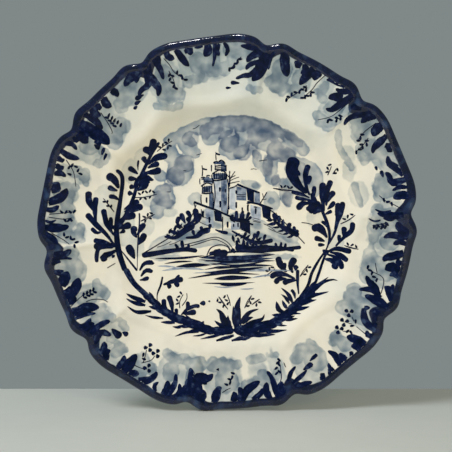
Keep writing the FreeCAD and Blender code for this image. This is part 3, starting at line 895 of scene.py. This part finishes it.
# the wreath round the scene
leftStems = [
    (4, -87, -40, -92, -25, -94, -12, -94, 0, -91, 20, -89, 35, -90, 42, -94, 46),
    (3, -94, -5, -85, 10, -80, 22, -76, 35, -70, 48, -64, 60, -58, 69),
]
leftLeaves = [
    (5, -66, 56, -62, 72), (5, -66, 58, -71, 65), (4, -68, 50, -72, 57), (5, -68, 50, -60, 56, -51, 57.5),
    (4, -68, 47, -58, 51), (5, -70, 43, -62, 44, -56.5, 46), (6, -75, 35, -66, 38, -65.5, 36),
    (4, -76, 42, -84, 48), (4, -77, 38, -84.5, 38.5), (4, -79, 30, -83.5, 32), (4, -80, 25, -85, 26),
    (1.5, -76, 45, -75.5, 54), (4, -88, 12, -80, 17, -75, 19), (5, -88, 10, -78, 13, -72, 15),
    (5, -92, 3, -84, 6, -78, 7.5), (5, -93, -4, -86, -2, -82, -0.5), (3, -92, -8, -87, -5.5),
    (6, -92, 30, -96, 38, -102, 41.5), (4, -93, 28, -101, 32), (3.5, -92, 20, -96, 23, -100.5, 23.5),
    (4, -96, -10, -102, 0, -105, 13), (3, -98, -5, -99, 6), (4, -96, -5, -97, -1),
    (4, -96, -18, -103, -8, -111, 0, -119, 9), (4, -111, 0, -112, 12, -111, 23),
    (5, -112, 10, -117, 20, -117, 28), (3, -105, -5, -110, -7, -115, -3),
    (4, -96, -18, -105, -15, -113, -13), (5, -95, -19, -105, -18, -113, -18.5),
    (3, -97, -20, -108, -20, -110.5, -26, -110.5, -32), (5, -94, -22, -100, -25, -105, -27, -103, -31),
    (3, -98, -26, -96, -28), (1.2, -77, -40, -76.5, -20, -75, 0, -75, 9),
    (5, -77, -12, -80, -7, -78.5, -2), (4, -77, -10, -73, -3, -70, 0), (5, -76, -18, -72, -12, -70.5, -8),
    (6, -79, -30, -83, -22, -85, -18), (1.5, -91, -22, -84, -31, -77, -40), (6, -80, 30, -72, 40),
    (6, -77, 28, -68, 36), (5, -74, 38, -69, 44),
]
leftHairs = [
    (0.8, -96, 10, -105, 22), (0.8, -80, 22, -60, 25), (0.8, -60, 61, -47, 70), (0.8, -74, 2, -62, 8),
    (0.8, -102, -37, -95, -33),
]
paintPiece(
    "leftWreathPainting",
    inked("stem", 0.86, thicker(leftStems, 1.25)) + inked("drop", 0.86, leftLeaves)
    + inked("line", 0.9, leftHairs),
)

rightLeaves = [
    (9, 67, 26, 60, 32, 55, 40, 54, 48, 57, 56), (7, 56, 40, 60, 45), (7, 58, 36, 53, 44),
    (4, 69, 24, 66, 32, 65.5, 42, 68, 50), (3.5, 68, 33, 69, 41), (3.5, 73, 22, 73, 32),
    (3, 69, 22, 62, 25, 53.5, 27), (3, 70, 20, 62, 21, 56.5, 22.5), (4.5, 70, 17, 63, 17, 58.5, 12),
    (4, 77, 15, 76, 9), (5, 81, 10, 80, 22, 80, 35), (4, 83, 15, 84, 28, 87, 37),
    (4, 84, 18, 87, 24, 90, 27.5), (3.5, 84, 12, 88, 16, 90, 19), (3, 82, 8, 88, 11),
    (4, 91, -3, 94, 5, 97, 19), (4, 92, 0, 93, 18), (2, 90, -5, 92, 5, 91, 9),
    (2.5, 79, -28, 84, -20, 86, -10, 84, 0, 80, 10, 76, 17), (2, 84, -20, 90, -8, 93, 2),
    (6, 84, -12, 80, -6, 76, -3, 71, -5), (4, 82, -15, 77, -13, 73, -12), (3, 82, -18, 76, -18),
    (2.5, 86, -5, 82, 0, 79, 2), (4, 84, -24, 92, -21, 104, -23), (4, 86, -24, 94, -26, 101, -31),
    (4, 84, -26, 90, -28, 95, -33, 96, -38), (5, 82, -30, 88, -31, 91, -34, 89, -38),
    (3.5, 91, -19, 98, -11, 104, -5, 105, 2), (4, 98, -12, 98, -2), (3, 94, -16, 94, -9),
    (5, 66, 12, 74, 18), (6, 68, 10, 78, 18), (6, 72, 8, 79, 16), (6, 67, 20, 76, 16),
    (4, 72, 15, 66, 12), (4, 72, 14, 69, 9), (5, 70, 26, 74, 14), (5, 80, -22, 85, -26),
]
rightHairs = [
    (0.8, 84, 41, 87, 49), (0.8, 88, 42, 91, 47), (0.8, 95, 0, 107, 8), (0.8, 98, -18, 110, -21),
    (0.8, 38, 30, 56, 28), (0.8, 62, 1, 72, -1),
]
paintPiece("rightWreathPainting", inked("drop", 0.86, rightLeaves) + inked("line", 0.9, rightHairs))

# the low branch sweeps under the scene from the left, feathered with blades
lowStem = [(5, -91), (-12, -91), (-27, -87), (-40, -82), (-52, -76), (-60, -70), (-67, -63)]
lowBough = [
    (5, -87, -38, -80, -50, -70, -60, -60, -70, -50, -77, -38, -82, -25, -87, -10, -90, 5, -91),
    (6, 5, -91, -12, -91, -27, -87, -40, -82, -52, -76),
]
lowBlades = [
    (3.5, -70, -66, -80, -62, -86, -58.5), (3, -70, -69, -80, -66, -86, -62.5),
    (3, -65, -74, -77, -74, -85, -69), (2, -55, -80, -63, -79, -70, -77), (2.5, -45, -84, -57, -83),
    (2, -40, -88, -47, -87), (2, -25, -92, -35, -92, -45, -95), (1.5, -18, -93, -30, -95),
    (2, -5, -94, -15, -96, -23.5, -97.5), (2.5, 5, -95, -3, -97, -9.5, -99),
]
lowLeaves = [
    (3.5, -50, -76, -54, -70, -54.5, -64), (4, -47, -76, -48, -68, -50.5, -61), (3, -43, -78, -44, -72),
    (1.5, -60, -67, -60, -60, -57, -52, -55.5, -45), (4, -55, -52, -47, -49, -38, -47),
    (4, -52, -52, -48, -54), (4, -46, -51, -41, -52), (2, -46, -48, -41, -43.5),
    (3, -40, -78, -35, -73, -28, -70, -24, -70.5), (4, -24, -68, -19, -67.5), (1.5, -17, -66, -15, -66),
    (4, -38, -77, -33, -76, -27, -75), (3, -36, -76, -34, -70, -34.5, -66),
    (4, -35, -80, -28, -84, -23, -86), (1.5, -23, -86, -20.5, -83),
    (3.5, -75, -40, -71, -34, -65, -33, -64, -35), (3.5, -74, -45, -70, -40, -66, -40, -65, -42),
    (3, -75, -48, -70, -47, -67, -45.5),
]
lowHairs = [
    (0.8, -41, -72, -41, -66, -38, -60), (0.8, -39, -70, -35, -64, -35, -59),
]
paintPiece(
    "lowBranchPainting",
    inked("stem", 0.76, lowBough[:1]) + feathering(lowStem, 2.6, 11.0, 3.4, 24, 0.86)
    + inked("bar", 0.84, lowBough[1:]) + inked("blade", 0.86, thicker(lowBlades, 1.15))
    + inked("drop", 0.86, lowLeaves) + inked("line", 0.9, lowHairs),
)

# a tuft of grass at the bottom, and the branch that climbs from it to the right
rightStem = [(2, -90), (20, -90), (35, -86), (45, -80), (55, -72), (64, -63), (70, -58)]
grass = [
    (5, 7, -90, 8, -78, 8, -70, 10.5, -62), (3, 6, -88, 5, -78, 4.5, -70),
    (4.5, 3, -89, -3, -83, -6, -76, -10, -72.5), (3, 2, -88, 0, -82, 0, -78),
    (3, 0, -89, -7, -86, -11.5, -82.5), (3, 10, -86, 15, -79, 19, -75, 26, -72.5),
    (3, 12, -85, 17, -81, 21.5, -79.5), (3.5, 12, -88, 22, -84, 29, -81, 31, -77),
    (3, 14, -89, 25, -86, 35, -82),
]
rightBough = [
    (8, 5, -90, 20, -90, 35, -86, 45, -80, 55, -72, 63, -63),
]
rightShoots = [
    (3, 62, -62, 68, -52, 71, -42, 77, -31, 82, -24), (3, 65, -62, 73, -52, 77, -42, 80, -33, 83, -25),
]
rightBlades = [
    (3.5, 58, -66, 70, -58, 80, -50, 88, -47, 92.5, -47.5), (2, 68, -56, 77, -51, 85, -45),
    (3, 60, -66, 72, -61, 85, -57), (3, 58, -70, 68, -66, 75, -64), (3, 55, -73, 62, -72, 69, -70),
    (2, 50, -77, 56, -76, 62, -76), (3, 45, -80, 52, -81, 59, -80), (2, 38, -84, 45, -86, 50, -86),
    (3, 25, -90, 38, -91, 50, -89.5), (3, 20, -95, 32, -94, 40, -93.5), (3, 3, -99, 15, -96, 28, -94),
    (2.5, -10, -99, -3, -97, 5, -94), (2.5, 11, -98, 20, -96), (3, 46, -78, 41, -78, 37, -77.5),
    (4, 47, -75, 43, -73, 41, -66), (3, 50, -72, 46, -65), (2.5, 52, -68, 49, -63, 45, -60),
    (3, 55, -68, 51, -60, 45, -54.5),
]
lowRightLeaves = [
    (2.5, 57, -64, 56, -59, 53.5, -56), (2.5, 60, -60, 59, -50, 59, -39),
    (4, 57, -47, 48, -43, 40, -43, 36, -46), (4, 58, -48, 50, -49, 47, -51.5),
    (4, 50, -47, 43, -47, 40, -51), (5, 50, -41, 45, -36, 42, -28), (3, 48, -41, 48, -33),
    (5, 55, -42, 53, -36, 57, -29), (4, 57, -40, 58, -35),
]
tuftHairs = [
    (0.8, -8, -62, 0, -73), (0.8, -1, -60, 2, -70), (0.8, 20, -61, 14, -72), (0.8, 27, -64, 20, -69),
    (0.8, 61, -45, 68, -35), (0.8, 31, -45, 40, -38),
]
paintPiece(
    "tuftPainting",
    feathering(rightStem, 2.4, 11.0, 3.4, 26, 0.87) + inked("blade", 0.88, thicker(grass, 1.35))
    + inked("bar", 0.86, rightBough) + inked("stem", 0.88, rightShoots)
    + inked("blade", 0.87, thicker(rightBlades, 1.15)) + inked("drop", 0.88, lowRightLeaves)
    + inked("line", 0.9, tuftHairs),
)

# leaves reaching in from the rim's dark band, then the smaller dabs beyond their tips
rimLeaves = [
    (5, 41.5, 153, 43.5, 141), (4, 38.5, 153, 39, 147, 41, 139, 41.5, 133, 40.8, 128),
    (5, 36.5, 152, 37.6, 140), (7, 33, 152, 31.5, 142), (5, 29.5, 150, 28, 139, 26.3, 135),
    (7, 27, 153, 24.7, 146.5), (5, 16, 151, 19, 148, 21, 144.5, 23.5, 145.5),
    (5, 14.5, 150, 14.5, 142, 17, 141, 18.5, 139), (3, 12, 150, 11.8, 140.5), (6, 9.5, 152, 9.2, 140),
    (5, 3.5, 151, 3.3, 140, 4.4, 125.5), (2.5, 3.2, 142, 2.6, 130), (2, 5, 137, 6, 124),
    (6, 357, 148, 359, 144, 361.2, 141.5), (1.5, 1.8, 128, 2.6, 118),
    (5, 46.3, 148, 47.5, 134, 48.3, 129, 50, 127), (4, 47.5, 149, 50, 146, 51.8, 145),
    (6, 48, 143, 50.5, 139, 51.7, 135), (4, 50, 151, 54, 149, 56, 146.5), (6, 59, 152, 59.2, 140.5),
    (6, 61.5, 148, 62.5, 138, 63, 131.5), (5, 64.5, 150, 64.4, 140), (6, 67, 151, 67, 143),
    (7, 72, 151, 70.5, 142, 69, 136, 68.2, 133.5), (3, 75, 150, 75.5, 134),
    (8, 77.5, 148, 78, 138, 78.5, 130, 80.5, 122), (5, 79, 147, 83.5, 137), (3.5, 79.5, 139, 83.5, 130.5),
    (3.5, 80, 133, 81.5, 127, 84, 125.5, 87, 122.5), (4, 80, 148, 86, 150), (3, 91.2, 150, 90.9, 141),
    (4.5, 93, 150, 92.9, 141.5), (2.5, 94.5, 150, 95.5, 133), (6, 96.5, 151, 98, 142),
    (3, 98, 153, 100.8, 150.5), (6, 103.5, 151, 102.5, 145), (5, 106.5, 149, 105, 142, 103.8, 136.5),
    (5, 109.5, 151, 107.8, 145.5), (5, 112.5, 150, 112.8, 145), (4, 114.2, 149, 113.9, 133),
    (3, 116, 146, 116.3, 134), (5.5, 118, 149, 117.3, 135, 116.9, 128, 118.5, 122.5),
    (4.5, 118.5, 143, 119.5, 135, 122.5, 134, 124.7, 131.5), (4.5, 119.5, 147, 122.8, 141),
    (6, 120, 151, 124, 147, 126.7, 144.5), (5, 131, 150, 130.6, 141), (6, 134.2, 151, 134.5, 138.5),
    (5, 137, 150, 136.8, 144), (6, 139, 150, 139.2, 140), (5, 142.2, 151, 142.5, 132),
    (9, 145.5, 156, 145.3, 140, 145.2, 128, 145.8, 120), (5, 146, 130, 148.5, 128, 149.8, 125),
    (2.5, 148, 122, 151, 120.5), (2, 149.5, 118, 152.5, 117), (7, 147, 145, 149.6, 135.5),
    (6, 148, 151, 151.5, 144), (3.5, 153.3, 150, 153.5, 141), (4.5, 155.8, 150, 156, 136),
    (4, 158, 151, 158, 147), (5, 160.5, 151, 160.3, 145.5), (4, 163.5, 151, 163.4, 141.5),
    (8, 168.5, 152, 165.7, 146), (6.5, 172.8, 151, 171, 143, 169, 139.5, 167.2, 138.5),
    (4, 175, 151, 173.5, 142.5), (2, 178.5, 150, 178.3, 144), (6, 180.7, 151, 181, 140, 180.5, 133.5),
    (4, 182.5, 149, 184.5, 146.5, 186.5, 143.5), (5.5, 189.5, 151, 189, 133), (2.5, 191, 148, 192.3, 134),
    (4, 192.5, 150, 192.5, 143.5), (4.5, 195, 150, 195.5, 143), (8, 200, 151, 198, 144, 196.2, 140),
    (8, 203.2, 152, 203, 141, 201.5, 136.5, 199.6, 133.3), (6, 205.5, 151, 204.8, 141.5),
    (3.5, 208.5, 150, 208.8, 136.5), (7, 209.7, 150, 210.3, 139, 211.5, 133, 212.8, 129),
    (3, 211.5, 147, 213.8, 134), (4, 214.5, 149, 214.3, 139.5), (5, 216.5, 149, 216.5, 139.5),
    (4.5, 218.5, 150, 218, 140, 218.4, 133, 219.2, 128),
    (5, 221.5, 153, 220.3, 143, 220.5, 139, 222, 137, 223.5, 135.5), (5, 224.8, 152, 223.3, 143),
    (5, 228, 150, 226.8, 144.5), (5, 232.3, 151, 231.7, 140.5), (7, 234.7, 149, 234.8, 140, 234.8, 134),
    (5, 237, 149, 239.3, 146.5), (5, 240, 151, 243, 147, 244.2, 141, 244, 138),
    (3, 246.5, 150, 246.2, 145), (5, 249, 151, 248.9, 141), (4, 250.6, 149, 251.5, 141, 250.8, 133.5),
    (3.5, 253, 149, 253, 140), (6, 254.5, 151, 256, 141, 255.3, 134),
    (6.5, 257.5, 151, 257.3, 138, 256.5, 131, 255.3, 125),
    (7, 260, 152, 260, 143, 258.8, 136, 259.3, 131, 262.5, 131, 264.3, 127),
    (3.5, 262.5, 134.5, 260, 134), (5, 261, 148, 261.3, 140.5), (3.5, 262.3, 150, 262.2, 143),
    (6, 265.5, 148, 266.5, 140, 267.8, 137.5), (5, 271.5, 149, 271.8, 141), (5, 273.5, 148, 273.8, 137.5),
    (5.5, 274.5, 147, 276.5, 141, 279, 137.5, 281.5, 135), (4, 278, 150, 282, 141),
    (5, 283.6, 148, 283.8, 137), (4, 286, 148, 286, 136, 284.9, 128), (6, 288, 149, 289, 139.5),
    (3, 292, 144, 296, 141.5, 298.5, 139.5), (3, 291, 141, 293, 135.5, 295.5, 132.5),
    (3.5, 292.5, 146, 295, 148, 298.2, 150), (4.5, 301.2, 151, 301.7, 147.5), (3, 304, 151, 304.5, 148),
    (3, 306, 151, 306, 144), (4.5, 308.5, 152, 309.3, 143, 308.3, 136), (6.5, 311, 151, 311.3, 143.5),
    (4, 314, 152, 314.5, 149), (5, 316.5, 152, 315.3, 145.5), (6.5, 318.8, 151, 318, 144, 316.6, 137.5),
    (4, 322.5, 151, 322.8, 146.5), (5, 324.2, 151, 324.8, 142, 326.5, 137, 328.5, 134.5, 329.8, 138),
    (7, 325.5, 154, 328.5, 148, 330.1, 141), (6, 332.8, 151, 333, 140, 332.7, 129.5),
    (4, 334.5, 142, 335.7, 134, 334.9, 128, 333.6, 123), (5, 335, 140, 336.8, 134, 338, 128, 339.7, 124),
    (6, 335.3, 146, 338.6, 141), (4, 336, 151, 340.3, 147), (4, 342.8, 150, 342.5, 142),
    (7, 345, 150, 345.5, 142, 344, 137), (6, 347, 150, 347.3, 144),
    (6, 351, 151, 349.5, 142, 348.3, 136, 346.7, 134), (4, 354, 151, 353.3, 139.5),
    (5, 356, 150, 356.5, 138, 355.3, 131),
]
rimDabs = [
    (3, 17, 136, 19.6, 136), (2.5, 20, 133, 21.7, 133), (3, 85.3, 119, 89, 119),
    (2, 88.7, 114.8, 91, 114.3), (3.5, 122.8, 129.5, 126.5, 130.5), (3, 125, 126.5, 127.8, 127.5),
    (2.5, 127.5, 125, 129.2, 125), (5.5, 221.8, 131.5, 226.5, 131), (4, 225.5, 127.5, 228, 126),
    (2, 265.3, 123, 266.3, 123), (4, 297.3, 138, 301.3, 136.5), (3, 300.8, 134.5, 304.5, 133),
]


def inQuarter(strokes, low, high):
    return [stroke for stroke in strokes if low <= (stroke[1] + 45) % 360 - 45 < high]


quarters = {"right": (-45, 45), "top": (45, 135), "left": (135, 225), "bottom": (225, 315)}
for quarter, (low, high) in quarters.items():
    leaves = rimInked("claw", 0.84, inQuarter(rimLeaves, low, high), 1.1)
    dabs = rimInked("drop", 0.86, inQuarter(rimDabs, low, high))
    paintPiece("rimLeavesPainting." + quarter, leaves + dabs)


# sprigs of tiny leaves on hair stems: a stem of (angle, radius) points, then the leaves beside it
rimSprigs = [
    ((5.3, 146, 7, 140, 8.5, 134, 11, 129), (7.3, 138, 8.2, 135.5, 9, 132.5)),
    ((0.8, 134, -0.2, 122), (0.5, 133, -0.5, 130, -0.3, 126, -0.8, 123)),
    ((34.7, 150, 34.5, 140, 34, 135, 33, 129), (34, 135.5, 33.4, 132.5, 32.8, 130)),
    ((31.8, 138, 29.5, 123), (31.3, 136, 30.2, 134, 31, 130.5, 30, 130, 29.8, 127.5, 29.5, 123.5)),
    ((45.3, 148, 45.8, 135, 46.5, 125, 49.5, 115.5),
     (44.2, 131, 43.6, 129.5, 44.5, 127.5, 44, 126, 45.7, 123, 46.2, 120.5)),
    ((57, 150, 58, 140, 58.2, 133, 59.6, 123), (57.5, 131.5, 57.6, 129, 58.3, 127, 59, 125, 59.6, 123)),
    ((60.5, 134, 61.5, 128, 65, 115.5),
     (60.8, 132, 60, 130.5, 61.2, 129, 61.8, 126.5, 63, 124.5, 64, 121.5, 64.7, 118.5, 65, 115.5)),
    ((85.5, 141, 89.5, 130), (85.8, 139, 86.6, 137, 87.2, 135, 87.8, 133, 88.5, 131, 89.5, 130)),
    ((111, 149, 110, 142, 109.3, 135, 106.3, 126.5),
     (108.4, 134.3, 107.8, 131.5, 107.2, 129, 106.3, 126.5)),
    ((111, 138, 111, 122),
     (111.3, 134.5, 110.5, 133, 111.6, 131, 111.4, 127.8, 111.3, 124.8, 111, 122.2)),
    ((138.5, 142, 139.5, 133, 141, 125, 142, 123.5),
     (137.3, 135.5, 138.4, 135.5, 137.3, 132, 138.6, 132, 137.3, 129, 138.8, 129, 137, 126, 139, 126,
      137, 122.5)),
    ((158, 146, 161, 137, 166, 131.5),
     (159, 139.5, 159, 136.5, 160, 133.5, 161, 131, 160, 141.5, 162.3, 139.5)),
    ((177.5, 150, 178, 138, 177.5, 131), (178.4, 137, 178.4, 134, 178.2, 132)),
    ((176.5, 150, 176, 140, 175.2, 129.5), (175.5, 140, 175.5, 136.5, 175.3, 133, 175.2, 129.5)),
    ((182.5, 148, 185, 139, 187, 134),
     (183.3, 137.5, 184.4, 135.5, 184.7, 132.5, 185.4, 130.5, 187.8, 130, 186.5, 128)),
    ((207.5, 149, 206.5, 141, 206, 136, 206, 125),
     (207, 135, 205.9, 135, 207, 132, 205.9, 132, 207, 129, 205.9, 129, 207, 126, 205.9, 126)),
    ((208.5, 136, 209, 130, 211, 123, 213, 120.5), ()),
    ((268, 142, 271, 138), (269.4, 135, 270.8, 134, 270.5, 131, 271.5, 129.5, 271.8, 126)),
    ((288, 141, 289.5, 135, 290.7, 122),
     (288, 132, 289.3, 131.5, 288.5, 128, 290, 126, 289.7, 124, 290.7, 122)),
    ((292, 130, 292, 125), ()),
    ((336, 141, 341, 138, 342, 125), (339.5, 133.5, 340.3, 130.5, 341.3, 128, 342.2, 125.5, 343, 123)),
    ((342, 132, 345.5, 128), ()),
    ((360, 135, 359, 122),
     (360.2, 133, 359.3, 132, 360, 129.5, 359, 129, 359.5, 126, 358.9, 125, 359.3, 123)),
    ((236.5, 142.5, 240.8, 140), ()), ((238, 138, 240.5, 132, 240.9, 127), (238, 134, 237, 131.5)),
    ((238.5, 137, 237.8, 131, 237, 126.5), ()), ((321.6, 150, 321.6, 138), (322.8, 135, 320.8, 135)),
    ((322.3, 134, 323.5, 130), ()), ((321.3, 134, 320.5, 131), (318.8, 138, 318.3, 135)),
    ((318.5, 136, 317, 132), ()),
]
trefoils = [(240.8, 139), (241, 125), (237.2, 124), (324, 126), (320, 128), (316.5, 129)]
sceneSprigs = [
    ((-96, 10, -105, 22), (-98.5, 15, -101, 15.5, -101.5, 19, -104, 19)),
    ((-80, 22, -60, 25),
     (-75, 25.5, -72, 26.5, -69, 27, -66, 27.6, -63, 27, -74, 21, -70, 21.5, -66, 22.5)),
    ((-60, 61, -47, 70), (-58, 65, -55, 66.5, -52.5, 68.5, -50, 70.5, -54, 62.5, -51, 64, -49, 66)),
    ((-74, 2, -62, 8), (-71, 6, -68, 7.5, -65, 9, -70, 2, -66, 4.5)),
    ((84, 41, 87, 49), (83.4, 44, 84, 47, 85.5, 50)), ((88, 42, 91, 47), (90, 43, 92, 46)),
    ((95, 0, 107, 8), (98, 4.5, 101, 6.5, 104, 8.5)),
    ((98, -18, 110, -21), (101, -16.5, 104.5, -17.5, 108, -18.5)),
    ((38, 30, 56, 28), (45, 31.5, 48, 31.5, 51, 31, 53.5, 30.5)),
    ((-41, -72, -41, -66, -38, -60), (-43, -68, -43, -65, -42, -62, -40, -59)),
    ((-8, -62, 0, -73), (-9, -65, -7, -67, -4, -70)), ((-1, -60, 2, -70), (-3, -62, -1.5, -65, 0, -68)),
    ((20, -61, 14, -72), (21, -64, 19, -67, 17, -70)), ((27, -64, 20, -69), (27, -67, 24, -69)),
    ((61, -45, 68, -35), (65, -43, 67, -40, 69, -37)),
    ((31, -45, 40, -38), (33, -40, 35, -38.5, 37.5, -37)),
]


def sprigStrokes(stem, leaves, onRim):
    path, spots, size = asPoints(stem), asPoints(leaves), 3.4
    if onRim:
        path, spots, size = [atAngle(*spot) for spot in path], [atAngle(*spot) for spot in spots], 4.0
    return [("line", 0.88, 0.75, path)] + leafPairs((path[0], path[-1]), 48, size, 0.95, spots)


rimMarks = []
for stem, leaves in rimSprigs:
    rimMarks += sprigStrokes(stem, leaves, True)
for angle, radius in trefoils:
    x, z = atAngle(angle, radius)
    for turn in (60, 180, 300):
        dx, dz = atAngle(angle + turn, 1.0)
        rimMarks.append(("drop", 0.9, 3.2, [(x + 0.4 * dx, z + 0.4 * dz), (x + 4.2 * dx, z + 4.2 * dz)]))
paintPiece("rimSprigPainting", rimMarks)
sceneMarks = []
for stem, leaves in sceneSprigs:
    sceneMarks += sprigStrokes(stem, leaves, False)
paintPiece("sceneSprigPainting", sceneMarks)


# floor, light and camera
floorTop = min(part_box("edge_glaze")[0].z, cadBox[0].z)
floor = {
    "thick": 0.03, "halfWide": 1.6, "front": -1.6, "back": 0.087,
    "dark": "#d0d4cb", "light": "#d8dbd2", "patch": 40.0, "roughness": 0.6,
}
floorDeep, floorMiddle = floor["back"] - floor["front"], (floor["back"] + floor["front"]) / 2.0
bm = bmesh.new()
bmesh.ops.create_cube(bm, size=1.0)
bmesh.ops.scale(bm, vec=(2.0 * floor["halfWide"], floorDeep, floor["thick"]), verts=bm.verts)
bmesh.ops.translate(bm, vec=(0.0, floorMiddle, floorTop - floor["thick"] / 2.0), verts=bm.verts)
mesh = bpy.data.meshes.new("floor")
bm.to_mesh(mesh)
bm.free()
# Painted shelf: a pale eggshell paint, rolled on, with faint patches of wear and no mirror reflection.
floorMaterial, tree = newMaterial("pearlPaintedShelf")
place = addNode(tree, "ShaderNodeTexCoord").outputs["Object"]
wear = addNode(tree, "ShaderNodeTexNoise", {
    "Vector": place, "Scale": 1.0 / (floor["patch"] * mm), "Detail": 4.0, "Roughness": 0.55}).outputs["Fac"]
colour = addNode(tree, "ShaderNodeMix", {0: wear, 6: toLinear(floor["dark"]), 7: toLinear(floor["light"])},
                 data_type="RGBA").outputs[2]
shader = addNode(tree, "ShaderNodeBsdfPrincipled", {"Base Color": colour, "Roughness": floor["roughness"]})
addNode(tree, "ShaderNodeOutputMaterial", {0: shader.outputs[0]})
mesh.materials.append(floorMaterial)
shelf = bpy.data.objects.new("floor", mesh)
bpy.context.scene.collection.objects.link(shelf)

scene = bpy.context.scene
scene.view_settings.view_transform = "Standard"
world = bpy.data.worlds.new("room")
scene.world = world
world.use_nodes = True
background = world.node_tree.nodes["Background"]
background.inputs[0].default_value = toLinear("#808888")
background.inputs[1].default_value = 1.0

lights = [  # name, place, aim, size, watts, colour, lights the surface, shows in the gloss
    ("key", (-1.0, -1.0, 1.4), (0.0, 0.0, 0.0), 0.8, 24.5, "#f1f5ff", True, False),
    ("fill", (0.4, -1.5, 0.35), (0.0, 0.0, -0.08), 1.0, 11.3, "#ffe6c4", True, False),
    ("glint", (-0.15, -0.6, 1.6), (0.0, 0.0, 0.0), 0.16, 10.0, "#ffffff", False, True),
]
for name, spot, aim, size, watts, colour, diffuse, glossy in lights:
    lamp = bpy.data.lights.new(name, "AREA")
    lamp.size = size
    lamp.energy = watts
    lamp.color = toLinear(colour)[:3]
    lampObject = bpy.data.objects.new(name, lamp)
    lampObject.location = spot
    lampObject.rotation_euler = (Vector(aim) - Vector(spot)).to_track_quat("-Z", "Y").to_euler()
    lampObject.visible_diffuse = diffuse
    lampObject.visible_glossy = glossy
    scene.collection.objects.link(lampObject)

view = {"place": (0.0, -1.6, 0.112), "aim": (-0.0017, -0.02, -0.0015), "lens": 149.7}
camera = bpy.data.cameras.new("camera")
camera.lens = view["lens"]
camera.sensor_width = 36.0
cameraObject = bpy.data.objects.new("camera", camera)
cameraObject.location = view["place"]
aimed = Vector(view["aim"]) - Vector(view["place"])
cameraObject.rotation_euler = aimed.to_track_quat("-Z", "Y").to_euler()
scene.collection.objects.link(cameraObject)
scene.camera = cameraObject
